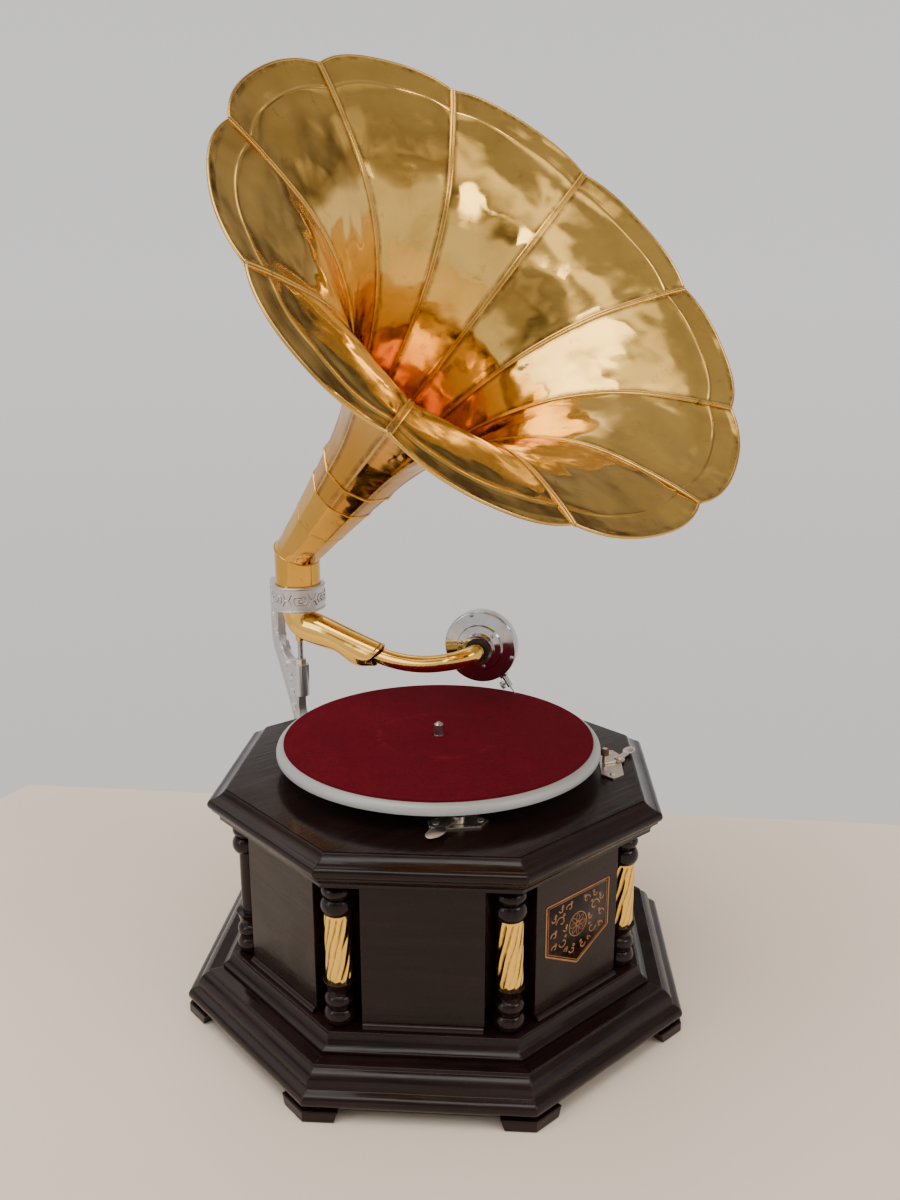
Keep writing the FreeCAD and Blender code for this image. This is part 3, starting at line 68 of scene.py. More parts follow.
class NodeTree:
    """A node tree, with short calls for the nodes used most."""

    def __init__(self, owner: bpy.types.ID) -> None:
        """Empties the node tree of a material or a world.

        Args:
            owner: The material or world.
        """
        owner.use_nodes = True
        self.tree = owner.node_tree
        self.tree.nodes.clear()

    def node(self, kind: str, **settings: object) -> bpy.types.Node:
        """Adds a node.

        Args:
            kind: The node's type name.
            settings: Attributes to set on it.

        Returns:
            The new node.
        """
        made = self.tree.nodes.new(kind)
        for key, value in settings.items():
            setattr(made, key, value)
        return made

    def join(self, source: Socket, target: Socket) -> None:
        """Links two sockets."""
        self.tree.links.new(source, target)

    def feed(self, target: Socket, value: object) -> None:
        """Links a socket to an input, or sets the input to a plain value.

        Args:
            target: The input.
            value: A socket or a plain value.
        """
        if isinstance(value, bpy.types.NodeSocket):
            self.join(value, target)
        else:
            target.default_value = value

    def axes(self, vector: Socket) -> bpy.types.NodeOutputs:
        """Splits a coordinate.

        Args:
            vector: The coordinate.

        Returns:
            Its X, Y and Z.
        """
        made = self.node("ShaderNodeSeparateXYZ")
        self.join(vector, made.inputs[0])
        return made.outputs

    def math(self, operation: str, a: object, b: object = 0.0) -> Socket:
        """Does one sum.

        Args:
            operation: Blender's name for it.
            a: First value or socket.
            b: Second value or socket.

        Returns:
            The result.
        """
        made = self.node("ShaderNodeMath", operation=operation)
        self.feed(made.inputs[0], a)
        self.feed(made.inputs[1], b)
        return made.outputs[0]

    def times(self, a: object, b: object) -> Socket:
        """The product of two values or sockets."""
        return self.math("MULTIPLY", a, b)

    def plus(self, a: object, b: object) -> Socket:
        """The sum of two values or sockets."""
        return self.math("ADD", a, b)

    def noise(self, vector: Socket, scale: float, detail: float = 3.0, rough: float = 0.55,
              twist: float = 0.0) -> Socket:
        """Adds fractal noise.

        Args:
            vector: Where to read it.
            scale: Its fineness, per metre.
            detail: Number of octaves.
            rough: How strong the finer octaves are.
            twist: Distortion.

        Returns:
            The noise from 0 to 1.
        """
        made = self.node("ShaderNodeTexNoise")
        self.join(vector, made.inputs["Vector"])
        for key, value in (("Scale", scale), ("Detail", detail), ("Roughness", rough), ("Distortion", twist)):
            made.inputs[key].default_value = value
        return made.outputs["Fac"]

    def streaks(self, vector: Socket, scale: Sequence[float], detail: float = 3.0, rough: float = 0.55,
                twist: float = 0.0) -> Socket:
        """Adds fractal noise drawn out along an axis.

        Args:
            vector: Where to read it.
            scale: Its fineness along each axis, per metre.
            detail: Number of octaves.
            rough: How strong the finer octaves are.
            twist: Distortion.

        Returns:
            The noise from 0 to 1.
        """
        made = self.node("ShaderNodeMapping")
        self.join(vector, made.inputs["Vector"])
        made.inputs["Scale"].default_value = scale
        return self.noise(made.outputs[0], 1.0, detail, rough, twist)

    def band(self, value: Socket, low: float, high: float, first: float = 0.0, last: float = 1.0,
             eased: bool = True) -> Socket:
        """Maps a stretch of a value onto another, clamped.

        Args:
            value: The value.
            low: Where the stretch starts; it may lie above its end.
            high: Where it ends.
            first: What low becomes.
            last: What high becomes.
            eased: Whether it starts and ends softly.

        Returns:
            The mapped value.
        """
        made = self.node("ShaderNodeMapRange", interpolation_type="SMOOTHSTEP" if eased else "LINEAR")
        self.join(value, made.inputs["Value"])
        for key, number in (("From Min", low), ("From Max", high), ("To Min", first), ("To Max", last)):
            made.inputs[key].default_value = number
        return made.outputs["Result"]

    def mixed(self, share: object, first: object, second: object) -> Socket:
        """Mixes two colours.

        Args:
            share: How much of the second.
            first: Colour or socket.
            second: Colour or socket.

        Returns:
            The mixed colour.
        """
        made = self.node("ShaderNodeMix", data_type="RGBA")
        self.feed(made.inputs["Factor"], share)
        for key, value in ((6, first), (7, second)):
            self.feed(made.inputs[key], (*value, 1.0) if isinstance(value, tuple) else value)
        return made.outputs[2]

    def bumped(self, height: Socket, depth: float, strength: float = 1.0,
               under: Optional[Socket] = None) -> Socket:
        """Turns a height into a normal.

        Args:
            height: Height from 0 to 1.
            depth: The depth in metres that 1 stands for.
            strength: Strength of the effect.
            under: A normal to add it to.

        Returns:
            The new normal.
        """
        made = self.node("ShaderNodeBump")
        made.inputs["Strength"].default_value = strength
        made.inputs["Distance"].default_value = depth
        self.join(height, made.inputs["Height"])
        if under is not None:
            self.join(under, made.inputs["Normal"])
        return made.outputs["Normal"]

    def eased(self, radius: float) -> Socket:
        """Rounds the sharp edges in the shading.

        Args:
            radius: By how much, in metres.

        Returns:
            The rounded normal.
        """
        made = self.node("ShaderNodeBevel", samples=4)
        made.inputs["Radius"].default_value = radius
        return made.outputs["Normal"]

    def edges(self, radius: float) -> Socket:
        """A mask that is 1 on edges and 0 on flats.

        Args:
            radius: How wide the edge reads, in metres.

        Returns:
            The mask.
        """
        dot = self.node("ShaderNodeVectorMath", operation="DOT_PRODUCT")
        self.join(self.eased(radius), dot.inputs[0])
        self.join(self.node("ShaderNodeNewGeometry").outputs["Normal"], dot.inputs[1])
        return self.band(dot.outputs["Value"], 0.995, 0.8)


class NodeSheet(NodeTree):
    """One material's node tree, round a Principled shader."""

    def __init__(self, name: str) -> None:
        """Starts an empty material.

        Args:
            name: The material's name.
        """
        self.material = bpy.data.materials.new(name)
        super().__init__(self.material)
        self.shader = self.node("ShaderNodeBsdfPrincipled")
        output = self.node("ShaderNodeOutputMaterial")
        self.join(self.shader.outputs["BSDF"], output.inputs["Surface"])

    def set(self, **values: object) -> None:
        """Sets or links the shader's inputs, with _ standing for a space in their names."""
        for key, value in values.items():
            self.feed(self.shader.inputs[key.replace("_", " ")], value)

    def place(self) -> Socket:
        """The place on the piece, in metres, in the frame it was built in."""
        return self.node("ShaderNodeTexCoord").outputs["Object"]

    def unwrapped(self) -> Socket:
        """The piece's own unwrapped coordinates."""
        return self.node("ShaderNodeTexCoord").outputs["UV"]


@dataclass(frozen=True)
class Finish:
    """A finish that can dress pieces; each kind lays its own nodes."""

    name: str

    def lay(self, sheet: NodeSheet) -> None:
        """Lays the finish's nodes on a sheet."""
        raise NotImplementedError

    def material(self) -> bpy.types.Material:
        """Makes the material once, and hands out the same one afterwards.

        Returns:
            The material.
        """
        known = bpy.data.materials.get(self.name)
        if known is not None:
            return known
        sheet = NodeSheet(self.name)
        self.lay(sheet)
        return sheet.material


@dataclass(frozen=True)
class Lacquer(Finish):
    """Near-black mahogany under hand-brushed gloss lacquer."""

    grain: Grain = Grain.AROUND
    dark: Colour = (0.0052, 0.0022, 0.0021)
    light: Colour = (0.018, 0.0070, 0.0062)
    worn: Colour = (0.085, 0.042, 0.034)
    edge: float = 0.0011
    rough: float = 0.20
    board_shift: float = 0.37

    def along(self, sheet: NodeSheet) -> Socket:
        """Coordinates whose X runs with the grain.

        Args:
            sheet: The sheet to lay them on.

        Returns:
            The coordinate.
        """
        if self.grain is Grain.UNWRAPPED:
            return sheet.unwrapped()
        place = sheet.place()
        if self.grain is Grain.ACROSS:
            return place
        parts = sheet.axes(place)
        around = sheet.math("ARCTAN2", parts[1], parts[0])
        side = sheet.math("ROUND", sheet.math("DIVIDE", around, SIDE_ANGLE))
        turned = sheet.node("ShaderNodeVectorRotate", rotation_type="Z_AXIS")
        sheet.join(place, turned.inputs["Vector"])
        sheet.join(sheet.times(side, -SIDE_ANGLE), turned.inputs["Angle"])
        local = sheet.axes(turned.outputs[0])
        joined = sheet.node("ShaderNodeCombineXYZ")
        order = (1, 2, 0) if self.grain is Grain.AROUND else (2, 1, 0)
        for target, source in enumerate(order):
            sheet.join(local[source], joined.inputs[target])
        shifted = sheet.node("ShaderNodeVectorMath", operation="ADD")
        offset = sheet.node("ShaderNodeCombineXYZ")
        sheet.join(sheet.times(side, self.board_shift), offset.inputs[0])
        sheet.join(joined.outputs[0], shifted.inputs[0])
        sheet.join(offset.outputs[0], shifted.inputs[1])
        return shifted.outputs[0]

    def lay(self, sheet: NodeSheet) -> None:
        """Grain streaks, pores, brush marks in the gloss, and browner worn edges.

        Args:
            sheet: The sheet to lay them on.
        """
        along = self.along(sheet)
        figure = sheet.streaks(along, (6, 60, 60), 5, 0.6, 1.4)
        streaks = sheet.streaks(along, (9, 420, 420), 4, 0.7, 0.2)
        pores = sheet.streaks(along, (60, 1900, 1900), 2, 0.6)
        body = sheet.mixed(sheet.band(figure, 0.3, 0.75), self.dark, self.light)
        body = sheet.mixed(sheet.band(streaks, 0.42, 0.72, 0.0, 0.75), body, self.light)
        body = sheet.mixed(sheet.band(pores, 0.62, 0.78, 0.0, 0.6), body, self.dark)
        patches = sheet.noise(sheet.place(), 55, 4, 0.65)
        rubbed = sheet.times(sheet.edges(self.edge * 1.6), sheet.band(patches, 0.48, 0.72))
        body = sheet.mixed(sheet.times(rubbed, 0.7), body, self.worn)
        smears = sheet.noise(sheet.place(), 32, 3, 0.5)
        rough = sheet.band(smears, 0.3, 0.7, self.rough - 0.05, self.rough + 0.10)
        rough = sheet.plus(rough, sheet.times(rubbed, 0.25))
        brushed = sheet.streaks(along, (14, 150, 150), 3, 0.55, 0.5)
        normal = sheet.bumped(brushed, 0.00045, 0.55, sheet.eased(self.edge))
        normal = sheet.bumped(streaks, 0.00012, 0.5, normal)
        dust = sheet.noise(sheet.place(), 1400, 2, 0.5)
        normal = sheet.bumped(sheet.band(dust, 0.68, 0.80), 0.00008, 0.6, normal)
        sheet.set(Base_Color=body, Roughness=rough, Normal=normal, Coat_Weight=0.2,
                  Coat_Roughness=0.09, Specular_IOR_Level=0.16)


@dataclass(frozen=True)
class Brass(Finish):
    """Polished sheet brass with tarnish clouds, handling smears and uneven beating."""

    bright: Colour = (0.88, 0.54, 0.13)
    dull: Colour = (0.52, 0.27, 0.05)
    # Real stains on brass; on the gilt foil this dark brown also paints the shade in the fold valleys.
    stain_and_shade: Colour = (0.24, 0.115, 0.028)
    rough: float = 0.085
    tarnish: float = 0.5
    dents: float = 0.0005

    def stained_and_shaded(self, sheet: NodeSheet, colour: Socket) -> Socket:
        """Lets a kind of brass add stains and painted shade of its own."""
        return colour

    def lay(self, sheet: NodeSheet) -> None:
        """Cloudy colour, darker stains on edges, and a soft wave in the sheet.

        Args:
            sheet: The sheet to lay them on.
        """
        place = sheet.place()
        clouds = sheet.noise(place, 15, 5, 0.6, 0.8)
        spots = sheet.noise(place, 75, 4, 0.7, 0.4)
        colour = sheet.mixed(sheet.band(clouds, 0.40, 0.78, 0.0, self.tarnish), self.bright, self.dull)
        colour = sheet.mixed(sheet.band(spots, 0.58, 0.80, 0.0, self.tarnish), colour, self.stain_and_shade)
        edge = sheet.times(sheet.edges(0.0013), sheet.band(spots, 0.3, 0.6))
        colour = sheet.mixed(sheet.times(edge, 0.5), colour, self.stain_and_shade)
        colour = self.stained_and_shaded(sheet, colour)
        smears = sheet.streaks(place, (30, 30, 90), 4, 0.6, 0.6)
        rough = sheet.band(smears, 0.3, 0.75, self.rough - 0.05, self.rough + 0.09)
        rough = sheet.plus(rough, sheet.band(spots, 0.55, 0.8, 0.0, 0.10))
        scratches = sheet.streaks(place, (900, 130, 500), 2, 0.6)
        beaten = sheet.noise(place, 26, 2, 0.45)
        normal = sheet.bumped(beaten, self.dents * 6, 0.45, sheet.eased(0.0004))
        normal = sheet.bumped(scratches, 0.00003, 0.35, normal)
        sheet.set(Base_Color=colour, Metallic=1.0, Roughness=rough, Normal=normal)


@dataclass(frozen=True)
class PetalBrass(Brass):
    """Horn brass, browner where polish never reached beside the seams and at the hem, with painted shade
    turning it amber down the throat.
    """

    # The amber of the painted shade deep in the throat.
    amber: Colour = (0.56, 0.235, 0.022)

    def stained_and_shaded(self, sheet: NodeSheet, colour: Socket) -> Socket:
        """Brown lines along the seams and the rim, and painted shade turning amber down the throat, read from
        the unwrapped distances.

        Args:
            sheet: The sheet to lay them on.
            colour: The colour so far.

        Returns:
            The colour with its stains and painted shade.
        """
        parts = sheet.axes(sheet.unwrapped())
        patches = sheet.noise(sheet.place(), 110, 4, 0.65)
        beside = sheet.band(parts[0], 0.0052, 0.0016)
        beside = sheet.times(beside, sheet.band(patches, 0.32, 0.62, 0.35, 1.0))
        hem = sheet.times(sheet.band(parts[1], 0.0055, 0.001), sheet.band(patches, 0.4, 0.7))
        both = sheet.math("MAXIMUM", beside, hem)
        # Painted shade: from 130 to 270 mm back from the rim the brass turns amber, deep in the throat.
        deep = sheet.times(sheet.band(parts[1], 0.13, 0.27), 0.85)
        colour = sheet.mixed(deep, colour, self.amber)
        return sheet.mixed(sheet.times(both, 0.85), colour, self.stain_and_shade)


@dataclass(frozen=True)
class GiltFoil(Brass):
    """Gilt foil whose folds keep the bright colour on their crests, with painted shade darkening their
    valleys.
    """

    def stained_and_shaded(self, sheet: NodeSheet, colour: Socket) -> Socket:
        """Painted shade darkening the valleys, read from the height of the fold.

        Args:
            sheet: The sheet to lay them on.
            colour: The colour so far.

        Returns:
            The colour with painted shade in the valleys.
        """
        parts = sheet.axes(sheet.unwrapped())
        patches = sheet.noise(sheet.place(), 300, 3, 0.6)
        # Painted shade: the valleys of the folds darken towards the dark brown colour.
        valley_shade = sheet.times(sheet.band(parts[0], 0.42, 0.08),
                            sheet.band(patches, 0.3, 0.6, 0.5, 1.0))
        return sheet.mixed(sheet.times(valley_shade, 0.9), colour, self.stain_and_shade)


@dataclass(frozen=True)
class Plated(Finish):
    """A bright or dull metal: chrome, nickel, cast aluminium, steel."""

    colour: Colour = (0.62, 0.62, 0.63)
    shade: Colour = (0.33, 0.32, 0.31)
    rough: float = 0.18
    spread: float = 0.10
    grain: float = 260.0
    depth: float = 0.00004
    wear: float = 0.35
    edge: float = 0.0005
    cast: float = 0.0

    def lay(self, sheet: NodeSheet) -> None:
        """Mottled colour, darker pits, polish marks and, on castings, an uneven skin.

        Args:
            sheet: The sheet to lay them on.
        """
        place = sheet.place()
        mottle = sheet.noise(place, 60, 4, 0.65, 0.3)
        pits = sheet.noise(place, 420, 3, 0.6)
        colour = sheet.mixed(sheet.band(mottle, 0.35, 0.8, 0.0, self.wear), self.colour, self.shade)
        colour = sheet.mixed(sheet.band(pits, 0.66, 0.82, 0.0, self.wear), colour, self.shade)
        rough = sheet.band(mottle, 0.3, 0.75, self.rough - self.spread / 2, self.rough + self.spread)
        marks = sheet.streaks(place, (self.grain, self.grain, self.grain * 5), 3, 0.6)
        normal = sheet.bumped(marks, self.depth, 0.5, sheet.eased(self.edge))
        if self.cast:
            skin = sheet.noise(place, 190, 3, 0.55)
            normal = sheet.bumped(skin, self.cast, 0.6, normal)
        sheet.set(Base_Color=colour, Metallic=1.0, Roughness=rough, Normal=normal)


@dataclass(frozen=True)
class PlatterPaint(Finish):
    """Silver-grey paint on the turntable, rubbed and rusting in spots near the front of the rim."""

    def lay(self, sheet: NodeSheet) -> None:
        """Metallic paint with a fine grain and rust where it was handled.

        Args:
            sheet: The sheet to lay them on.
        """
        place = sheet.place()
        parts = sheet.axes(place)
        clouds = sheet.noise(place, 38, 4, 0.6)
        grime = sheet.noise(place, 170, 5, 0.72, 0.6)
        front = sheet.band(sheet.plus(parts[0], parts[1]), -0.02, -0.15)
        level = sheet.math("SUBTRACT", grime, sheet.times(front, -0.13))
        rust = sheet.band(level, 0.62, 0.68)
        paint = sheet.mixed(sheet.band(clouds, 0.35, 0.7), (0.17, 0.178, 0.174), (0.26, 0.264, 0.252))
        paint = sheet.mixed(sheet.times(rust, 0.85), paint, (0.16, 0.075, 0.035))
        rough = sheet.plus(sheet.band(clouds, 0.3, 0.7, 0.30, 0.42), sheet.times(rust, 0.35))
        fine = sheet.noise(place, 900, 2, 0.5)
        normal = sheet.bumped(fine, 0.00003, 0.5, sheet.eased(0.0005))
        normal = sheet.bumped(rust, 0.0001, 0.7, normal)
        metal = sheet.math("SUBTRACT", 0.75, sheet.times(rust, 0.75))
        sheet.set(Base_Color=paint, Metallic=metal, Roughness=rough, Normal=normal)


@dataclass(frozen=True)
class Felt(Finish):
    """Short-napped wool felt, brushed in swirls and rubbed thin by records."""

    deep: Colour = (0.095, 0.0011, 0.0070)
    nap: Colour = (0.180, 0.0028, 0.0150)
    worn: Colour = (0.235, 0.012, 0.022)

    def lay(self, sheet: NodeSheet) -> None:
        """Swirled nap, single fibres, lint specks and a rubbed ring round the spindle.

        Args:
            sheet: The sheet to lay them on.
        """
        place = sheet.place()
        parts = sheet.axes(place)
        swirl = sheet.noise(place, 42, 5, 0.7, 1.2)
        tufts = sheet.noise(place, 560, 4, 0.8, 0.5)
        fibres = sheet.streaks(place, (2600, 1500, 1500), 3, 0.7, 1.5)
        colour = sheet.mixed(sheet.band(swirl, 0.22, 0.80), self.deep, self.nap)
        colour = sheet.mixed(sheet.band(tufts, 0.40, 0.62, 0.0, 0.9), colour, self.deep)
        colour = sheet.mixed(sheet.band(fibres, 0.50, 0.66, 0.0, 0.75), colour, self.worn)
        x2 = sheet.times(parts[0], parts[0])
        y2 = sheet.times(parts[1], parts[1])
        out = sheet.math("SQRT", sheet.plus(x2, y2))
        label = sheet.math("SUBTRACT", 1.0, sheet.math("ABSOLUTE", sheet.math("SUBTRACT", out, 0.047)))
        rubbed = sheet.times(sheet.band(label, 0.9955, 0.9998), sheet.band(swirl, 0.45, 0.62))
        colour = sheet.mixed(sheet.times(rubbed, 0.55), colour, self.worn)
        lint = sheet.noise(place, 520, 2, 0.4)
        colour = sheet.mixed(sheet.band(lint, 0.80, 0.84, 0.0, 0.7), colour, (0.42, 0.30, 0.30))
        normal = sheet.bumped(tufts, 0.0009, 1.0)
        normal = sheet.bumped(fibres, 0.0005, 1.0, normal)
        sheet.set(Base_Color=colour, Roughness=0.94, Normal=normal, Sheen_Weight=0.12,
                  Sheen_Roughness=0.4, Sheen_Tint=(0.8, 0.08, 0.16, 1.0), Specular_IOR_Level=0.08)


@dataclass(frozen=True)
class Matt(Finish):
    """Rubber, leather and other dull non-metals."""

    colour: Colour = (0.016, 0.015, 0.015)
    shade: Colour = (0.035, 0.032, 0.030)
    rough: float = 0.62
    scale: float = 700.0
    depth: float = 0.0001

    def lay(self, sheet: NodeSheet) -> None:
        """A fine moulded or pebbled skin with dusty patches.

        Args:
            sheet: The sheet to lay them on.
        """
        place = sheet.place()
        pebble = sheet.node("ShaderNodeTexVoronoi")
        sheet.join(place, pebble.inputs["Vector"])
        pebble.inputs["Scale"].default_value = self.scale
        dust = sheet.noise(place, 90, 4, 0.6)
        colour = sheet.mixed(sheet.band(dust, 0.4, 0.75), self.colour, self.shade)
        rough = sheet.band(dust, 0.3, 0.7, self.rough - 0.08, self.rough + 0.12)
        normal = sheet.bumped(pebble.outputs["Distance"], self.depth, 0.5, sheet.eased(0.0004))
        sheet.set(Base_Color=colour, Roughness=rough, Normal=normal, Specular_IOR_Level=0.35)


@dataclass(frozen=True)
class Mica(Finish):
    """A thin mica diaphragm: amber, layered, half clear."""

    def lay(self, sheet: NodeSheet) -> None:
        """Cloudy layers with flaky edges in them.

        Args:
            sheet: The sheet to lay them on.
        """
        place = sheet.place()
        flakes = sheet.streaks(place, (90, 260, 140), 4, 0.7, 1.2)
        colour = sheet.mixed(sheet.band(flakes, 0.35, 0.7), (0.72, 0.60, 0.42), (0.86, 0.80, 0.66))
        rough = sheet.band(flakes, 0.3, 0.7, 0.08, 0.22)
        normal = sheet.bumped(flakes, 0.00005, 0.5)
        sheet.set(Base_Color=colour, Roughness=rough, Normal=normal, Transmission_Weight=0.35,
                  IOR=1.56, Coat_Weight=0.4)


@dataclass(frozen=True)
class Plywood(Finish):
    """Raw pale plywood on the underside."""

    def lay(self, sheet: NodeSheet) -> None:
        """Open grain along X with darker late wood.

        Args:
            sheet: The sheet to lay them on.
        """
        place = sheet.place()
        grain = sheet.streaks(place, (8, 150, 60), 5, 0.65, 0.8)
        fibre = sheet.streaks(place, (60, 1500, 900), 3, 0.6)
        colour = sheet.mixed(sheet.band(grain, 0.3, 0.75), (0.36, 0.23, 0.12), (0.50, 0.36, 0.21))
        colour = sheet.mixed(sheet.band(fibre, 0.55, 0.8, 0.0, 0.5), colour, (0.22, 0.13, 0.065))
        normal = sheet.bumped(fibre, 0.0002, 0.5, sheet.eased(0.0006))
        sheet.set(Base_Color=colour, Roughness=sheet.band(grain, 0.3, 0.7, 0.6, 0.8), Normal=normal)


@dataclass(frozen=True)
class TableTop(Finish):
    """The pale laminate table that the machine stands on."""

    def lay(self, sheet: NodeSheet) -> None:
        """An almost even cream with faint marks.

        Args:
            sheet: The sheet to lay them on.
        """
        place = sheet.place()
        tone = sheet.noise(place, 2.2, 3, 0.5)
        specks = sheet.noise(place, 900, 2, 0.5)
        colour = sheet.mixed(sheet.band(tone, 0.3, 0.7), (0.90, 0.755, 0.625), (0.93, 0.79, 0.66))
        colour = sheet.mixed(sheet.band(specks, 0.7, 0.8, 0.0, 0.05), colour, (0.5, 0.42, 0.34))
        sheet.set(Base_Color=colour, Roughness=sheet.band(tone, 0.3, 0.7, 0.42, 0.5),
                  Normal=sheet.bumped(specks, 0.00002, 0.2))


RAIL_WOOD = Lacquer("lacquered_mouldings", Grain.UNWRAPPED)
TURNED_WOOD = Lacquer("lacquered_turnings", Grain.UNWRAPPED, edge=0.0005, rough=0.15)
PANEL_WOOD = Lacquer("lacquered_panels", Grain.AROUND, rough=0.24, light=(0.014, 0.0058, 0.0056))
POST_WOOD = Lacquer("lacquered_posts", Grain.UPRIGHT, rough=0.3)
BOARD_WOOD = Lacquer("lacquered_top", Grain.ACROSS, rough=0.19)
GRIP_WOOD = Lacquer("lacquered_grip", Grain.ACROSS, rough=0.2, light=(0.045, 0.018, 0.011))
RAW_WOOD = Plywood("raw_plywood")
# The horn brass also paints shade, as amber, deep in the throat.
HORN_BRASS = PetalBrass("horn_brass")
NECK_BRASS = Brass("neck_brass", bright=(0.72, 0.38, 0.06), tarnish=0.65)
ARM_BRASS = Brass("arm_brass", bright=(0.88, 0.53, 0.11), rough=0.10, dents=0.00015, tarnish=0.35)
SEAM_BRASS = Brass("seam_brass", bright=(0.74, 0.45, 0.11), dull=(0.40, 0.21, 0.05),
                   stain_and_shade=(0.13, 0.065, 0.02), rough=0.2, tarnish=0.9)
# The gilt's dark brown colour also paints the shade in the valleys of its folds.
GILT = GiltFoil("gilt_foil", bright=(0.95, 0.62, 0.14), dull=(0.82, 0.48, 0.09), stain_and_shade=(0.30, 0.14, 0.03),
                rough=0.15, tarnish=0.35, dents=0.0002)
GEAR_BRASS = Brass("gear_brass", bright=(0.70, 0.50, 0.22), rough=0.25, dents=0.00005)
BRONZE = Brass("bearing_bronze", bright=(0.55, 0.36, 0.17), dull=(0.38, 0.22, 0.09), rough=0.28,
               dents=0.00005)
ALUMINIUM = Plated("cast_aluminium", (0.40, 0.40, 0.405), (0.13, 0.13, 0.13), 0.16, 0.12, 60, 0.00006, 0.75,
                   0.0012, 0.0006)
CHROME = Plated("soundbox_chrome", (0.50, 0.51, 0.53), (0.24, 0.25, 0.27), 0.10, 0.08, 320, 0.00001, 0.4)
NICKEL = Plated("dull_nickel", (0.74, 0.66, 0.56), (0.42, 0.35, 0.27), 0.3, 0.14, 400, 0.00003, 0.4)
STEEL = Plated("machined_steel", (0.46, 0.46, 0.47), (0.20, 0.19, 0.185), 0.3, 0.12, 500, 0.00005, 0.5)
BLUED = Plated("blued_spring_steel", (0.17, 0.20, 0.28), (0.08, 0.08, 0.10), 0.25, 0.1, 500, 0.00003, 0.4)
RUBBER = Matt("black_rubber")
LEATHER = Matt("brake_leather", (0.13, 0.065, 0.032), (0.20, 0.11, 0.06), 0.7, 1500.0, 0.00015)
COPPER_PAINT = Matt("copper_paint", (0.44, 0.19, 0.062), (0.26, 0.10, 0.035), 0.4, 900.0, 0.00003)
MICA = Mica("mica_sheet")
PLATTER_PAINT = PlatterPaint("platter_paint")
FELT = Felt("crimson_felt")
TABLE_TOP = TableTop("table_top")


# ------------------------------------------------------------------ mesh bench
def linked(name: str, data: bpy.types.ID) -> bpy.types.Object:
    """Puts an object in the scene.

    Args:
        name: The object's name.
        data: Its mesh, lamp or camera.

    Returns:
        The new object.
    """
    made = bpy.data.objects.new(name, data)
    bpy.context.scene.collection.objects.link(made)
    return made


def round_angles(count: int) -> np.ndarray:
    """Evenly spaced angles round a full turn, the last one short of the first."""
    return np.linspace(0, math.tau, count, endpoint=False)


class Bench:
    """Collects points and faces of one piece and turns them into an object."""

    def __init__(self) -> None:
        """Starts with nothing on the bench."""
        self.points: list[Sequence[float]] = []
        self.faces: list[Sequence[int]] = []
        self.unwrap: list[Sequence[Point2]] = []

    def grid(self, rows: np.ndarray, around: bool = False, ends: bool = False,
             wrap: Optional[np.ndarray] = None, flip: bool = False) -> None:
        """Adds a grid of points as quads.

        Args:
            rows: Points, as rows by columns by 3.
            around: Whether each row closes on itself.
            ends: Whether to close the first and last rows with flat caps.
            wrap: Unwrapped coordinates, as rows by columns (one more column when around) by 2.
            flip: Whether to turn the faces over.
        """
        base = len(self.points)
        count, width = rows.shape[:2]
        flat = (np.zeros((count, width + 1, 2)) if wrap is None else wrap).tolist()
        self.points.extend(rows.reshape(-1, 3).tolist())
        span = width if around else width - 1
        for i in range(count - 1):
            for j in range(span):
                after = (j + 1) % width
                quad = [base + i * width + j, base + i * width + after,
                        base + (i + 1) * width + after, base + (i + 1) * width + j]
                spots = [(i, j), (i, j + 1), (i + 1, j + 1), (i + 1, j)]
                if flip:
                    quad.reverse()
                    spots.reverse()
                self.faces.append(quad)
                self.unwrap.append([flat[a][b] for a, b in spots])
        if ends:
            first = [base + j for j in range(width)]
            last = [base + (count - 1) * width + j for j in range(width)]
            for ring, turn in ((first, not flip), (last, flip)):
                self.faces.append(ring[::-1] if turn else ring)
                self.unwrap.append(flat[0][:width])

    def side(self, rows: Sequence[np.ndarray], k: int, along: np.ndarray, run: np.ndarray) -> None:
        """Adds a section swept along one side of the octagon.

        Args:
            rows: The section at each station, drawn for the side that faces +X.
            k: The side's number, counted from +X.
            along: Each station's unwrapped place.
            run: Each section point's unwrapped place, the first one repeated.
        """
        wrap = np.stack(np.broadcast_arrays(along[:, None], run[None, :]), axis=2)
        turn = Matrix.Rotation(k * SIDE_ANGLE, 4, "Z")
        self.grid(stood(np.array(rows), turn), around=True, ends=True, wrap=wrap)

    def piece(self, name: str, finish: Finish, body: str, slot: str, stands_for: Sequence[str] = (),
              crease: float = 38.0) -> bpy.types.Object:
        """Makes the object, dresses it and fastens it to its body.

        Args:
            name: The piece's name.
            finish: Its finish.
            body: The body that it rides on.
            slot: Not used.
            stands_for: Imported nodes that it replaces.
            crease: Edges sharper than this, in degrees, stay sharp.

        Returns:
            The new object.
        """
        mesh = bpy.data.meshes.new(name)
        mesh.from_pydata(self.points, [], self.faces)
        layer = mesh.uv_layers.new(name="unwrapped")
        flat = [spot for face in self.unwrap for spot in face]
        layer.data.foreach_set("uv", np.array(flat, np.float32).ravel())
        mesh.validate()
        mesh.shade_smooth()
        mesh.set_sharp_from_angle(angle=math.radians(crease))
        mesh.materials.append(finish.material())
        made = linked(name, mesh)
        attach(made, body)
        if stands_for:
            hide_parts(*stands_for)
        LOG.info("%s: %d points, %d faces, rides on %s", name, len(self.points), len(self.faces), body)
        return made


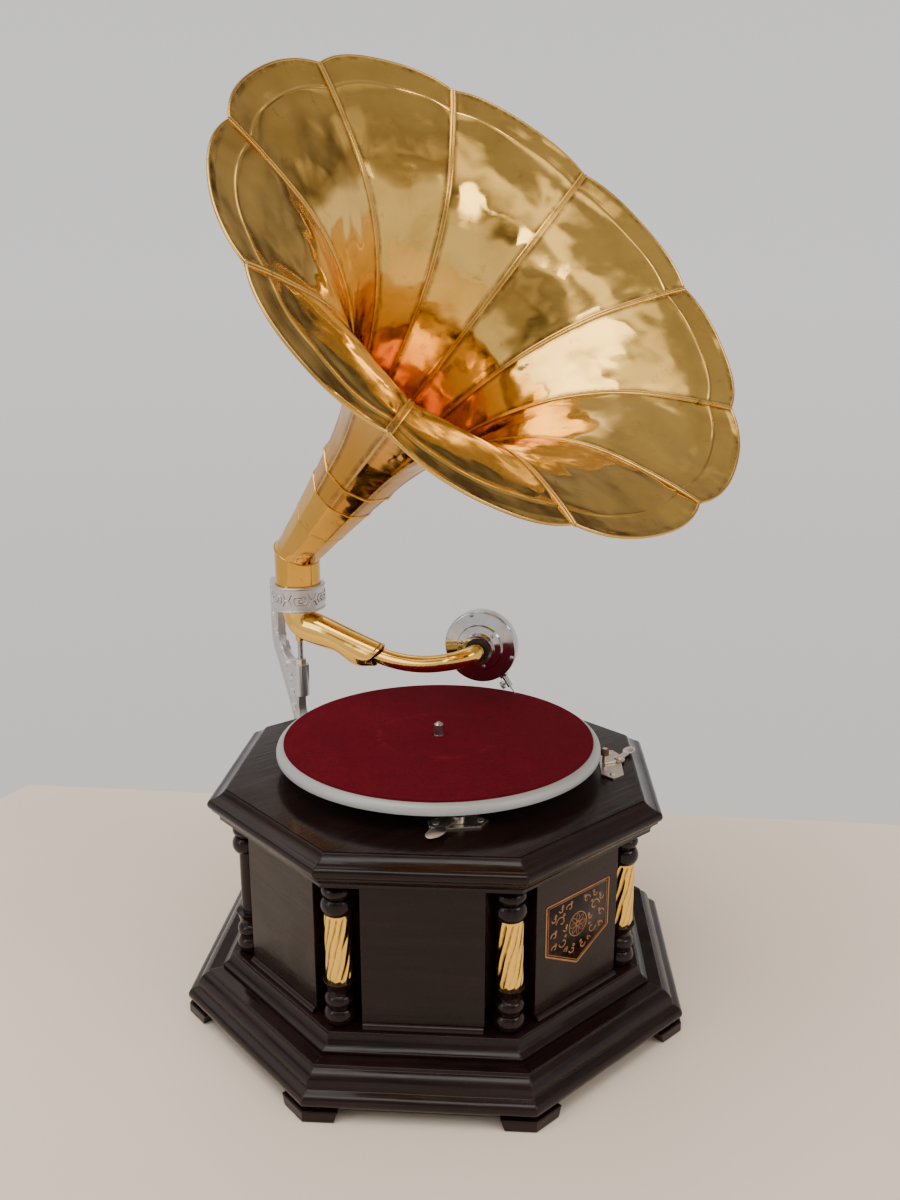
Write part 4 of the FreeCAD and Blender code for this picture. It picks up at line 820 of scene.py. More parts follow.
def arc(start: Point2, middle: Point2, end: Point2) -> list[Point2]:
    """Points along the arc through three points.

    Args:
        start: First point.
        middle: A point on the way.
        end: Last point.

    Returns:
        The points, both ends included.
    """
    (ax, ay), (bx, by), (cx, cy) = start, middle, end
    d = 2 * (ax * (by - cy) + bx * (cy - ay) + cx * (ay - by))
    sa, sb, sc = ax * ax + ay * ay, bx * bx + by * by, cx * cx + cy * cy
    ux = (sa * (by - cy) + sb * (cy - ay) + sc * (ay - by)) / d
    uy = (sa * (cx - bx) + sb * (ax - cx) + sc * (bx - ax)) / d
    radius = math.hypot(ax - ux, ay - uy)
    first, through, last = (math.atan2(y - uy, x - ux) for x, y in (start, middle, end))
    sweep = (last - first) % math.tau
    if (through - first) % math.tau > sweep:
        sweep -= math.tau
    angles = [first + sweep * i / ARC_STEPS for i in range(ARC_STEPS + 1)]
    return [(ux + radius * math.cos(a), uy + radius * math.sin(a)) for a in angles]


def drawn(steps: Sequence[object]) -> list[Point2]:
    """Points of an outline of corners and (middle, end) arcs.

    Args:
        steps: Corners, or pairs of points for arcs.

    Returns:
        The points.
    """
    points: list[Point2] = [steps[0]]
    for step in steps[1:]:
        if isinstance(step[0], tuple):
            points += arc(points[-1], step[0], step[1])[1:]
        else:
            points.append(step)
    return points


def softened(points: Sequence[Point2], radius: float, closed: bool = True) -> list[Point2]:
    """Rounds an outline's sharp corners.

    Args:
        points: The outline.
        radius: How far back from each corner the rounding starts.
        closed: Whether the outline closes on itself.

    Returns:
        The rounded outline.
    """
    done: list[Point2] = []
    total = len(points)
    for i, here in enumerate(points):
        if not closed and i in (0, total - 1):
            done.append(here)
            continue
        p, b, q = (np.array(v, float) for v in (points[i - 1], here, points[(i + 1) % total]))
        before, after = b - p, q - b
        reach = min(radius, 0.4 * np.linalg.norm(before), 0.4 * np.linalg.norm(after))
        before, after = before / np.linalg.norm(before), after / np.linalg.norm(after)
        if before @ after > math.cos(math.radians(SOFT_BEND)):
            done.append(tuple(b))
            continue
        for share in (0.0, 0.25, 0.5, 0.75, 1.0):
            done.append(tuple((1 - share) ** 2 * (b - before * reach) + 2 * share * (1 - share) * b
                              + share ** 2 * (b + after * reach)))
    return done


def lengths(points: np.ndarray) -> np.ndarray:
    """Distance along a line of points, from 0 at its start."""
    return np.concatenate([[0.0], np.cumsum(np.linalg.norm(np.diff(points, axis=0), axis=1))])


def turned(profile: Sequence[Point2], segments: int = 48,
           shape: Callable[[np.ndarray, np.ndarray, np.ndarray], np.ndarray] = lambda r, z, a: r,
           ) -> tuple[np.ndarray, np.ndarray]:
    """A lathe-turned skin about Z.

    Args:
        profile: (radius, height) points.
        segments: Number of steps round.
        shape: Changes the radius by height and angle.

    Returns:
        Rows of points, and their unwrapped coordinates.
    """
    line = np.array(profile, float)
    angle = round_angles(segments)
    radius = shape(line[:, :1], line[:, 1:], angle[None, :]) * np.ones((1, segments))
    height = line[:, 1:] * np.ones((1, segments))
    rows = np.stack([radius * np.cos(angle), radius * np.sin(angle), height], axis=2)
    run = lengths(line)
    across = np.linspace(0, 1, segments + 1) * float(line[:, 0].max()) * math.tau
    wrap = np.stack([run[:, None] * np.ones((1, segments + 1)), np.ones((len(line), 1)) * across], axis=2)
    return rows, wrap


def unit(rows: np.ndarray) -> np.ndarray:
    """Each row's direction."""
    return rows / np.linalg.norm(rows, axis=1)[:, None]


def stood(points: np.ndarray, frame_matrix: Matrix) -> np.ndarray:
    """Points moved by a matrix."""
    matrix = np.array(frame_matrix)
    return points @ matrix[:3, :3].T + matrix[:3, 3]


def tube(path: np.ndarray, radius: float, sides: int = 10, closed: bool = False,
         up: Sequence[float] = (0, 0, 1), flatten: float = 1.0) -> np.ndarray:
    """Rows of points round a path.

    Args:
        path: Points of the centre line.
        radius: The tube's radius.
        sides: Points round it.
        closed: Whether the path closes on itself.
        up: A direction that is never along the path.
        flatten: The radius along up as a share of the other.

    Returns:
        The rows, with the first repeated at the end of a closed path.
    """
    path = np.array(path, float)
    if closed:
        way = np.roll(path, -1, 0) - np.roll(path, 1, 0)
    else:
        way = np.gradient(path, axis=0)
    way = unit(way)
    side = unit(np.cross(way, np.array(up, float)))
    rise = np.cross(side, way)
    angle = round_angles(sides)
    rows = (path[:, None] + side[:, None] * (np.cos(angle) * radius)[None, :, None]
            + rise[:, None] * (np.sin(angle) * radius * flatten)[None, :, None])
    return np.concatenate([rows, rows[:1]]) if closed else rows


def spline(points: np.ndarray, count: int) -> np.ndarray:
    """A natural cubic through points, read at even shares of its chord length.

    Args:
        points: The points to pass through.
        count: Number of points wanted.

    Returns:
        The points read.
    """
    shares = np.linspace(0, 1, count)
    knots = lengths(points)
    knots = knots / knots[-1]
    n = len(points)
    step = np.diff(knots)
    left = np.zeros((n, n))
    right = np.zeros((n, points.shape[1]))
    left[0, 0] = left[-1, -1] = 1
    for i in range(1, n - 1):
        left[i, i - 1:i + 2] = step[i - 1], 2 * (step[i - 1] + step[i]), step[i]
        right[i] = 6 * ((points[i + 1] - points[i]) / step[i] - (points[i] - points[i - 1]) / step[i - 1])
    bend = np.linalg.solve(left, right)
    at = np.clip(np.searchsorted(knots, shares, side="right") - 1, 0, n - 2)
    a = (knots[at + 1] - shares)[:, None]
    b = (shares - knots[at])[:, None]
    h = step[at][:, None]
    return ((bend[at] * a ** 3 + bend[at + 1] * b ** 3) / (6 * h)
            + (points[at] / h - bend[at] * h / 6) * a + (points[at + 1] / h - bend[at + 1] * h / 6) * b)


def dress(finish: Finish, *nodes: str) -> None:
    """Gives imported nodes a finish.

    Args:
        finish: The finish.
        nodes: The nodes' names.
    """
    for name in nodes:
        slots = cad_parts[name].data.materials
        made = finish.material()
        if len(slots) == 0:
            slots.append(made)
        for i in range(len(slots)):
            slots[i] = made
        LOG.info("%s: dressed in %s", name, finish.name)


# ------------------------------------------------------------------ the case
@dataclass
class Moulding:
    """Eight mitred lengths of one section round the octagon."""

    name: str
    node: str
    steps: Sequence[object]
    ease: float = 0.0009
    wander: float = 0.00022
    joint: float = 0.00035
    stations: int = 26

    def section(self) -> np.ndarray:
        """The section's points, as distance from the axis and height, in metres."""
        points = softened(drawn(self.steps), self.ease / MM)
        return np.array(points, float) * MM

    def build(self) -> bpy.types.Object:
        """Sweeps the section along each side, eased at the mitres.

        Returns:
            The piece.
        """
        bench = Bench()
        section = self.section()
        middle = section.mean(0)
        share = np.sin(np.linspace(-math.pi / 2, math.pi / 2, self.stations))
        share = np.concatenate([[-1.0], share * 0.994, [1.0]])
        run = lengths(np.concatenate([section, section[:1]]))
        for k in range(SIDES):
            rows = []
            for t in share:
                pull = self.joint if abs(t) == 1.0 else 0.0
                flat = section + unit(middle - section) * pull
                y = t * flat[:, 0] * math.tan(HALF_SIDE)
                wave = np.array([noise.noise(Vector((k * 3.1, t * 4.0, z * 60))) for z in flat[:, 1]])
                out = flat[:, 0] + wave * self.wander * (1 - abs(t) ** 6)
                rows.append(np.stack([out, y, flat[:, 1]], axis=1))
            along = share * section[:, 0].max() * math.tan(HALF_SIDE) + k * 0.71
            bench.side(rows, k, along, run + k * 0.13)
        return bench.piece(self.name, RAIL_WOOD, "case", "wood", [self.node], crease=30)


@dataclass
class Case:
    """The octagonal wooden case with its plinth, panels, columns and top."""

    panel_face: float = 150.0
    skirt_out: float = 35.0
    cap_out: float = 5.9
    edge_out: float = 17.5
    board_out: float = 4.0
    foot_out: float = 38.0
    foot_deep: float = 23.0
    foot_wing: float = 24.0
    foot_height: float = 8.0
    sill_half: float = 41.4
    plinth_top: float = 46.0
    skirt_top: float = 33.4
    column_height: float = 111.0
    column_inset: float = 9.36
    top_thick: float = 24.0
    sleeve_low: float = 33.0
    sleeve_high: float = 27.5
    flutes: int = 11
    segments: int = 56
    badge_height: float = 104.0
    curls: Sequence[tuple[float, float, float, int]] = (
        (5.2, 17.5, 9.0, 1), (4.4, 15.0, -7.5, -1), (3.4, 24.5, 0.5, 1), (3.6, 9.0, 17.0, 1),
        (3.2, 5.5, -17.0, -1), (2.6, 24.5, 13.5, -1), (2.8, 24.0, -9.0, 1), (2.4, 17.5, 18.5, -1),
        (2.0, 12.0, -15.5, 1), (2.2, 12.8, 2.0, -1))

    def column_place(self, k: int, z: float) -> Matrix:
        """Stands something on a column's axis.

        Args:
            k: The column's number, counted from +X.
            z: The height, in millimetres.

        Returns:
            The matrix that moves it there.
        """
        angle = SIDE_ANGLE * (k + 0.5)
        reach = (self.panel_face / math.cos(HALF_SIDE) - self.column_inset) * MM
        at = (reach * math.cos(angle), reach * math.sin(angle), z * MM)
        return Matrix.Translation(at) @ Matrix.Rotation(angle, 4, "Z")

    def mouldings(self) -> None:
        """Builds the skirt, the plinth's cap and the top moulding."""
        skirt, cap, foot = self.panel_face + self.skirt_out, self.panel_face + self.cap_out, self.foot_height
        low, high = foot + 2.0, foot + 11.5
        z = self.skirt_top
        inner = self.panel_face - 20
        Moulding("plinth_skirt_rails", "plinth_skirt", [
            (inner, foot), (skirt, foot), (skirt, low), ((skirt + 3.5, (low + high) / 2), (skirt, high)),
            (skirt - 3.4, high + 1.2), ((skirt - 5.3, z - 6.6), (skirt - 11.5, z - 2.0)), (skirt - 11.5, z),
            (inner, z)]).build()
        waist = skirt - 22.0
        Moulding("plinth_cap_rails", "plinth_cap", [
            (inner, z), (waist, z), (waist, z + 2.6), ((waist - 5.2, z + 6.6), (cap, self.plinth_top - 2.0)),
            (cap, self.plinth_top), (inner, self.plinth_top)]).build()
        edge = self.panel_face + self.edge_out
        board = self.panel_face + self.board_out
        z = self.plinth_top + self.column_height
        rim = z + self.top_thick
        Moulding("top_rails", "top_moulding", [
            (board - 14, z), (edge - 8.0, z), (edge - 8.0, z + 2.0),
            ((edge - 6.2, z + 5.4), (edge - 3.0, z + 8.0)),
            (edge - 3.0, z + 9.5), ((edge, z + 13.6), (edge - 4.0, z + 17.5)), (edge - 5.0, z + 17.7),
            ((edge - 9.6, z + 20.2), (board + 1.0, rim - 0.8)), (board, rim - 0.8), (board, rim - 12),
            (board - 14, rim - 12)]).build()

    def sills(self) -> None:
        """A thin quarter-round strip at the foot of each panel."""
        bench = Bench()
        face, z = self.panel_face, self.plinth_top
        corners = [(face, z), (face + 3.2, z), ((face + 2.4, z + 2.9), (face, z + 4.2))]
        section = np.array(softened(drawn(corners), 0.3)) * MM
        run = lengths(np.concatenate([section, section[:1]]))
        half = self.sill_half * MM
        share = np.linspace(-1, 1, 14)
        for k in range(SIDES):
            rows = np.array([np.stack([section[:, 0], np.full(len(section), t * half), section[:, 1]], axis=1)
                             for t in share])
            bench.side(rows, k, share * half + k * 0.53, run)
        bench.piece("panel_sills", RAIL_WOOD, "case", "wood", crease=30)

    def feet(self) -> None:
        """Bracket feet, one wrapped round each corner of the plinth, with their ends cut to a small ogee."""
        outer = (self.panel_face + self.foot_out) * MM
        inner, wing, high = outer - self.foot_deep * MM, self.foot_wing * MM, self.foot_height * MM
        ogee, soft = 3.2 * MM, 0.7 * MM
        apart = np.concatenate([np.linspace(wing, wing - ogee, 9), np.linspace(wing - 5 * MM, 0, 8)])
        tangent = math.tan(HALF_SIDE)
        bench = Bench()
        for k in range(SIDES):
            rows, spots = [], []
            for turn, way, gaps in ((k, 1, apart), (k + 1, -1, apart[::-1][1:])):
                matrix = Matrix.Rotation(turn * SIDE_ANGLE, 4, "Z")
                for gap in gaps:
                    share = min(max((gap - wing + ogee) / ogee, 0.0), 1.0)
                    foot = high * (share * share * (3 - 2 * share)) * 0.98
                    lip = min(soft, (high - foot) / 2)
                    ring = [(outer - lip, foot), (outer, foot + lip), (outer, high - lip),
                            (outer - lip, high), (inner, high), (inner, foot)]
                    rows.append(stood(np.array([(x, way * min(outer * tangent - gap, x * tangent), z)
                                                for x, z in ring]), matrix))
                    spots.append([(-way * gap + k * 0.4, x - z) for x, z in ring + ring[:1]])
            bench.grid(np.array(rows), around=True, ends=True, wrap=np.array(spots))
        bench.piece("bracket_feet", RAIL_WOOD, "case", "wood", ["feet"], crease=30)

    def columns(self) -> None:
        """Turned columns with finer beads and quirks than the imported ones, each a little different."""
        h = self.column_height
        steps = [
            (0.5, 0.0), (8.5, 0.0), ((11.2, 5.8), (8.8, 11.5)), (7.5, 11.8), (7.5, 12.5),
            ((10.6, 17.6), (7.8, 22.6)), (7.2, 23.0), (7.2, 23.6), (8.6, 24.6), ((9.6, 29.0), (11.0, 32.4)),
            (11.0, 33.0), (6.7, 33.2), (6.7, h - 27.7), (9.0, h - 27.5), ((11.4, h - 21.2), (9.0, h - 15.6)),
            (7.6, h - 15.1), (7.6, h - 14.5), ((10.8, h - 10.3), (7.8, h - 6.3)), (7.1, h - 6.0),
            (7.1, h - 5.4), ((8.2, h - 2.6), (10.2, h - 0.8)), (10.2, h), (0.5, h)]
        profile = [(r * MM, z * MM) for r, z in softened(drawn(steps), 0.45, closed=False)]
        bench = Bench()
        rows, wrap = turned(profile, self.segments)
        for k in range(SIDES):
            bench.grid(stood(rows, self.column_place(k, self.plinth_top)), around=True, ends=True,
                       wrap=wrap + k * 0.31)
        bench.piece("turned_columns", TURNED_WOOD, "case", "wood", ["columns"], crease=34)

    def sleeves(self) -> None:
        """Gilt foil sleeves folded in spirals round the four front columns."""
        low, high = self.sleeve_low, self.column_height - self.sleeve_high
        tall = high - low
        heights = np.concatenate([np.linspace(0, 1.6, 6), np.linspace(2.2, tall - 2.2, 54),
                                  np.linspace(tall - 1.6, tall, 6)])
        bench = Bench()
        for k in range(SIDES // 2, SIDES):
            seed = k * 7.3

            def fold(r: np.ndarray, z: np.ndarray, a: np.ndarray) -> np.ndarray:
                """The folded radius.

                Args:
                    r: The plain radius.
                    z: Height.
                    a: Angle.

                Returns:
                    The radius there.
                """
                lean = z * 30.0 + 0.03 * np.sin(z * 260 + seed)
                phase = self.flutes * (a - lean) + seed
                deep = 0.46 + 0.20 * np.sin(2.0 * (a - lean * 0.8) + seed)
                wave = 1.0 - 1.9 * np.abs(np.sin(phase / 2)) ** 1.6
                wave = -wave * deep + 0.05 * np.sin(3 * phase / 2 + z * 160)
                fade = np.clip(np.minimum(z, tall * MM - z) / 0.0030, 0.12, 1.0)
                return r + wave * MM * fade

            outer = [(8.85 * MM, z * MM) for z in heights]
            rows, _ = turned(outer, 176, fold)
            lip_low, _ = turned([(7.0 * MM, 0.0), (8.3 * MM, 0.0)], 176)
            lip_high, _ = turned([(8.3 * MM, tall * MM), (7.0 * MM, tall * MM)], 176)
            skin = np.concatenate([lip_low, rows, lip_high, lip_low[:1]])
            # The fold's height goes into the unwrapped coordinates, for the painted shade in the valleys.
            crest = (np.linalg.norm(skin[:, :, :2], axis=2) / MM - 8.35) / 0.95
            wrap = np.stack([crest, skin[:, :, 2]], axis=2)
            wrap = np.concatenate([wrap, wrap[:, :1]], axis=1)
            bench.grid(stood(skin, self.column_place(k, self.plinth_top + low)), around=True, wrap=wrap)
        bench.piece("gilt_spiral_sleeves", GILT, "case", "gilt", ["gilt_sleeves"], crease=50)

    def badge(self) -> None:
        """A shield lined in copper paint, with a rosette and scrolls, on the front panel."""
        matrix = Matrix.Translation((0, -self.panel_face * MM, self.badge_height * MM)) @ Matrix.Rotation(
            math.pi / 2, 4, "X")
        shield = [(-33, 26), (33, 26), (33, -12), (0, -30), (-33, -12)]
        plate = Bench()
        outline = np.array(shield, float) * MM
        rows = np.array([np.column_stack([outline * s, np.full(5, z)])
                         for s, z in ((1.0, -0.0001), (1.0, 0.00012), (0.996, 0.0002))])
        plate.grid(stood(rows, matrix), around=True, ends=True)
        plate.piece("shield_ground", PANEL_WOOD, "case", "wood")
        lines = Bench()

        def line(points: Iterable[Point2], wide: float, closed: bool = True) -> None:
            """Lays one raised copper line.

            Args:
                points: Its path.
                wide: Its width.
                closed: Whether it closes on itself.
            """
            path = np.array([(a * MM, b * MM, 0.0002) for a, b in points])
            lines.grid(stood(tube(path, wide * MM / 2, 8, closed, flatten=0.35), matrix), around=True,
                       ends=not closed)

        for scale, wide in ((0.985, 1.3), (0.92, 0.5)):
            corners = [(a * scale, b * scale) for a, b in shield]
            path = []
            for p, q in zip(corners, corners[1:] + corners[:1]):
                path += [(p[0] + (q[0] - p[0]) * t, p[1] + (q[1] - p[1]) * t)
                         for t in np.linspace(0.01, 0.99, 9)]
            line(path, wide)
        circle = [(math.cos(a), math.sin(a)) for a in round_angles(40)]
        line([(a * 9.0, b * 9.0 + 1) for a, b in circle], 0.7)
        line([(a * 1.8, b * 1.8 + 1) for a, b in circle], 1.0)
        for i in range(8):
            turn = i * math.tau / 8
            leaf = [(4.9 + 2.9 * a, 1.35 * b) for a, b in circle[::2]]
            line([(a * math.cos(turn) - b * math.sin(turn), a * math.sin(turn) + b * math.cos(turn) + 1)
                  for a, b in leaf], 0.45)
        for side in (-1, 1):
            for size, x0, y0, way in self.curls:
                curl = [(side * (x0 + size * (1 - t * 0.8) * math.cos(way * t * 5.2)),
                         y0 + size * (1 - t * 0.8) * math.sin(way * t * 5.2)) for t in np.linspace(0, 1, 26)]
                line(curl, 0.95, closed=False)
                bud = (side * (x0 - size * 0.55), y0 + size * 0.9)
                line([(bud[0] + a * 0.8, bud[1] + b * 0.8) for a, b in circle[::3]], 0.8)
        lines.piece("shield_lines", COPPER_PAINT, "case", "gilt")

    def build(self) -> None:
        """Builds and dresses every wooden piece of the case."""
        self.mouldings()
        self.sills()
        self.feet()
        self.columns()
        self.sleeves()
        self.badge()
        dress(PANEL_WOOD, "case_panels")
        dress(POST_WOOD, "corner_posts")
        dress(BOARD_WOOD, "motor_board")
        dress(RAW_WOOD, "bottom_board")


# ------------------------------------------------------------------ bracket
@dataclass
class Bracket:
    """Relief on the cast bracket that carries the horn and the tone arm."""

    axis_y: float = 195.0
    ring_low: float = 269.0
    ring_high: float = 292.0
    ring_radius: float = 23.5
    half_thick: float = 4.0
    motifs: int = 6
    web: Sequence[Point2] = ((232, 262), (231, 246), (224, 228), (211, 208), (205, 190), (203, 172),
                             (197, 154), (189, 138), (180, 125), (170, 115))
    edges: Sequence[Sequence[Point2]] = (
        ((235.3, 282), (235.3, 262), (234.7, 241), (226.6, 214), (212.8, 185), (201.8, 159), (191.8, 133),
         (176.4, 110)),
        ((227.9, 266), (227.8, 240), (220.5, 224), (207, 213)),
        ((193.4, 196), (197.2, 175), (191.3, 158.5), (186, 139.5), (173.5, 126.5)))

    def relief(self) -> None:
        """Border beads and leaves on the web's faces, ovals and stars round the ring."""
        bench = Bench()
        for side in (-1, 1):
            x = side * self.half_thick
            for edge in self.edges:
                path = spline(np.array(edge, float), 44)
                path = np.column_stack([np.full(len(path), x), path])
                bench.grid(tube(path * MM, 0.75 * MM, 8, up=(1, 0, 0), flatten=0.8), around=True, ends=True)
            self.leaves(bench, x, side)
        self.ring_beads(bench)
        for turn in range(self.motifs):
            self.oval(bench, math.radians(-90 + turn * 60 + 30))
            self.star(bench, math.radians(-90 + turn * 60))
        bench.piece("bracket_relief", ALUMINIUM, "case", "cast_aluminium", crease=50)

    def leaves(self, bench: Bench, x: float, side: int) -> None:
        """Pairs of pointed leaves up the web, with a bead between each pair.

        Args:
            bench: Where to add them.
            x: The face's place.
            side: Which way the face looks.
        """
        line = spline(np.array(self.web, float), 23)
        way = unit(np.gradient(line, axis=0))
        for i in range(1, len(line) - 1, 2):
            for lean in (-1, 1):
                angle = math.atan2(way[i][1], way[i][0]) + lean * 0.62
                self.lens(bench, x, side, line[i] + way[i] * 1.0, angle, 6.0, 2.2, 1.4)
            self.lens(bench, x, side, line[i + 1] * 0.5 + line[i] * 0.5, 0.0, 1.3, 1.3, 0.9)

    def lens(self, bench: Bench, x: float, side: int, at: np.ndarray, angle: float, long: float, wide: float,
             proud: float) -> None:
        """One domed leaf on a web face.

        Args:
            bench: Where to add it.
            x: The face's place.
            side: Which way the face looks.
            at: Its middle, as (y, z).
            angle: Its direction.
            long: Half its length.
            wide: Half its width.
            proud: How far it stands out.
        """
        rows = []
        turn = round_angles(16)
        for share, rise in ((1.0, -0.05), (0.86, 0.45), (0.6, 0.8), (0.3, 0.97), (0.03, 1.0)):
            a = np.cos(turn) * long * share
            b = np.sin(turn) * np.abs(np.sin(turn)) ** 0.35 * wide * share
            y = at[0] + a * math.cos(angle) - b * math.sin(angle)
            z = at[1] + a * math.sin(angle) + b * math.cos(angle)
            rows.append(np.column_stack([np.full(16, x + side * rise * proud), y, z]))
        bench.grid(np.array(rows) * MM, around=True, ends=True, flip=side > 0)

    def on_ring(self, points: Iterable[Point2], angle: float, proud: float) -> np.ndarray:
        """Points drawn flat, wrapped on the ring.

        Args:
            points: Flat points, across and up.
            angle: Where the drawing's middle lies.
            proud: How far outside the ring they lie.

        Returns:
            The wrapped points, in metres.
        """
        radius = self.ring_radius + proud
        middle = (self.ring_low + self.ring_high) / 2
        places = [(angle + a / radius, middle + b) for a, b in points]
        return np.array([(radius * math.cos(turn), self.axis_y + radius * math.sin(turn), z)
                         for turn, z in places]) * MM

    def ring_beads(self, bench: Bench) -> None:
        """A rounded bead along the ring's top and bottom edges.

        Args:
            bench: Where to add them.
        """
        for z in (self.ring_low + 1.2, self.ring_high - 1.2):
            turn = round_angles(72)
            path = np.column_stack([self.ring_radius * np.cos(turn),
                                    self.axis_y + self.ring_radius * np.sin(turn), np.full(72, z)]) * MM
            bench.grid(tube(path, 1.05 * MM, 10, closed=True), around=True)

    def oval(self, bench: Bench, angle: float) -> None:
        """A looped oval with a bead in it.

        Args:
            bench: Where to add it.
            angle: Where its middle lies on the ring.
        """
        turn = round_angles(36)
        loop = [(6.4 * math.cos(t), 4.4 * math.sin(t) * (1 + 0.25 * math.cos(2 * t))) for t in turn]
        bench.grid(self.wrapped_tube(loop, angle, 0.95), around=True)
        inner = [(2.2 * math.cos(t), 1.5 * math.sin(t)) for t in turn]
        bench.grid(self.wrapped_tube(inner, angle, 1.0), around=True)

    def star(self, bench: Bench, angle: float) -> None:
        """Two crossed strokes with curled ends.

        Args:
            bench: Where to add it.
            angle: Where its middle lies on the ring.
        """
        for lean in (-1, 1):
            stroke = [(4.3 * t, lean * (5.6 * t - 1.6 * math.sin(t * math.pi)))
                      for t in np.linspace(-1, 1, 18)]
            path = self.on_ring(stroke, angle, 0.1)
            out = (math.cos(angle), math.sin(angle), 0)
            bench.grid(tube(path, 0.9 * MM, 8, up=out), around=True, ends=True)

    def wrapped_tube(self, loop: Iterable[Point2], angle: float, radius: float) -> np.ndarray:
        """A closed bead wrapped on the ring."""
        out = (math.cos(angle), math.sin(angle), 0)
        return tube(self.on_ring(loop, angle, 0.1), radius * MM, 8, closed=True, up=out)

    def build(self) -> None:
        """Builds the relief and dresses the casting, rod and nut."""
        self.relief()
        dress(ALUMINIUM, "bracket")
        dress(STEEL, "pivot_rod")
        dress(NICKEL, "pivot_nut", "wood_screws")


# ------------------------------------------------------------------ horn
@dataclass
class Horn:
    """The brass flower horn: crowned petals, folded seams, hemmed rim and faceted neck."""

    axis_y: float = 195.0
    mitre_z: float = 320.6
    rise: float = 40.3
    petals: int = 10
    bell: Sequence[Point2] = ((27.9, 100), (32, 131), (34.5, 150), (46, 200), (66, 250), (95, 290),
                              (125, 315), (158, 332), (191, 345), (206, 349.5))
    notch: float = 195.0
    tip: float = 202.0
    seam: float = 3.2
    sheet: float = 0.9
    tube_r: float = 20.25
    joint: float = 58.0
    joint_r: float = 24.5
    crease: float = 17.0
    rows: int = 84
    columns: int = 30
    lap: Sequence[Point2] = (
        (-2.5, 0.1), (-2.4, -0.55), (-2.0, -1.05), (-1.3, -1.2), (-0.7, -1.1), (-0.4, -0.35), (0.0, -0.15),
        (0.4, -0.3), (0.7, -0.9), (1.3, -1.0), (2.0, -0.85), (2.4, -0.4), (2.5, 0.3), (2.3, 1.3), (1.6, 1.75),
        (0.7, 1.85), (0.1, 1.6), (-0.3, 1.1), (-0.9, 1.3), (-1.7, 1.3), (-2.3, 0.9))
    rings: Sequence[tuple[float, float, float]] = ((90.0, 1.0, 0.35), (101.0, 2.0, 0.7), (131.0, 2.6, 1.15))
    stand: Matrix = field(init=False)

    def __post_init__(self) -> None:
        """Works out the horn's frame: Z along its axis, X to the top of its mouth."""
        lift = math.radians(self.rise)
        z = Vector((0, -math.cos(lift), math.sin(lift)))
        x = Vector((0, math.sin(lift), math.cos(lift)))
        y = z.cross(x)
        turn = Matrix((x, y, z)).transposed().to_4x4()
        self.stand = Matrix.Translation(Vector((0, self.axis_y, self.mitre_z)) * MM) @ turn

    def flare(self) -> tuple[np.ndarray, np.ndarray]:
        """The flare's points (radius, way along the axis) and their lengths, in millimetres."""
        line = spline(np.array(self.bell, float), 900)
        return line, lengths(line)

    def mitre(self, radius: float, turn: np.ndarray) -> np.ndarray:
        """Where the neck's mitre lies along the axis, at a radius and angles round it."""
        lift = math.radians(self.rise)
        return -(math.cos(lift) / (1 + math.sin(lift))) * radius * np.cos(turn)

    def rim_radius(self, v: np.ndarray) -> np.ndarray:
        """The rim's radius across a petal, v being -1 to 1 between its seams."""
        return self.notch + (self.tip - self.notch) * (1 - np.abs(v) ** 3.0)

    def crease_line(self, v: np.ndarray) -> np.ndarray:
        """How far along the flare the crease lies, a shallow arch from seam to seam."""
        line, run = self.flare()
        return np.interp(self.notch, line[:, 0], run) - self.crease + 4.5 * (1 - np.abs(v) ** 3)

    def skin(self, v: np.ndarray, t: np.ndarray, back: np.ndarray, k: int, lift: float) -> np.ndarray:
        """Points on one gore.

        Args:
            v: Place across the gore, -1 to 1 between its seams.
            t: Way along the flare.
            back: Distance from the rim.
            k: The gore's number, from the top of the mouth.
            lift: How far outside the inner face.

        Returns:
            The points, in metres, in the horn's frame.
        """
        line, run = self.flare()
        half = math.pi / self.petals
        radius = np.interp(t, run, line[:, 0])
        along = np.interp(t, run, line[:, 1])
        slope = unit(np.gradient(line, axis=0))
        out_r = np.interp(t, run, slope[:, 1])
        out_s = -np.interp(t, run, slope[:, 0])
        fade = np.clip(t / 60.0, 0, 1)
        inward = np.clip((back - 8.0) / 90.0, 0, 1)
        inward = inward * inward * (3 - 2 * inward)
        flat = inward * (0.38 + 0.14 * fade) - 0.12 * (1 - inward)
        crown = flat * radius * (1 - math.cos(half)) * (1 - v ** 2)
        gap = self.crease_line(v) - t
        step = 1 / (1 + np.exp(np.clip(gap / 0.5, -30, 30)))
        shift = -crown + 0.55 * step * np.clip(back / 14.0, 0, 1) - 0.42 * np.exp(-(gap / 0.85) ** 2)
        shift = shift + 0.5 * np.exp(-((gap - 6.0) / 5.0) ** 2)
        calm = np.clip((1 - np.abs(v)) * 4, 0, 1) * np.clip(back / 5.0, 0.15, 1) * fade
        wave = np.zeros_like(t)
        for spot in np.ndindex(*t.shape):
            a = v[spot] * half * radius[spot] / 34.0
            wave[spot] = noise.noise(Vector((a + 17.0 * k, t[spot] / 36.0, 0.5))) * 1.5
            wave[spot] += noise.noise(Vector((a * 2.7 + 5.0 * k, t[spot] / 14.0, 7.5))) * 0.34
        shift = shift + wave * calm * np.clip(radius / 110.0, 0.2, 1.0) + lift
        angle = v * (half - self.seam * 0.3 / np.maximum(radius, 1)) + k * 2 * half
        r = radius + out_r * shift
        return np.stack([r * np.cos(angle), r * np.sin(angle), along + out_s * shift], axis=-1) * MM

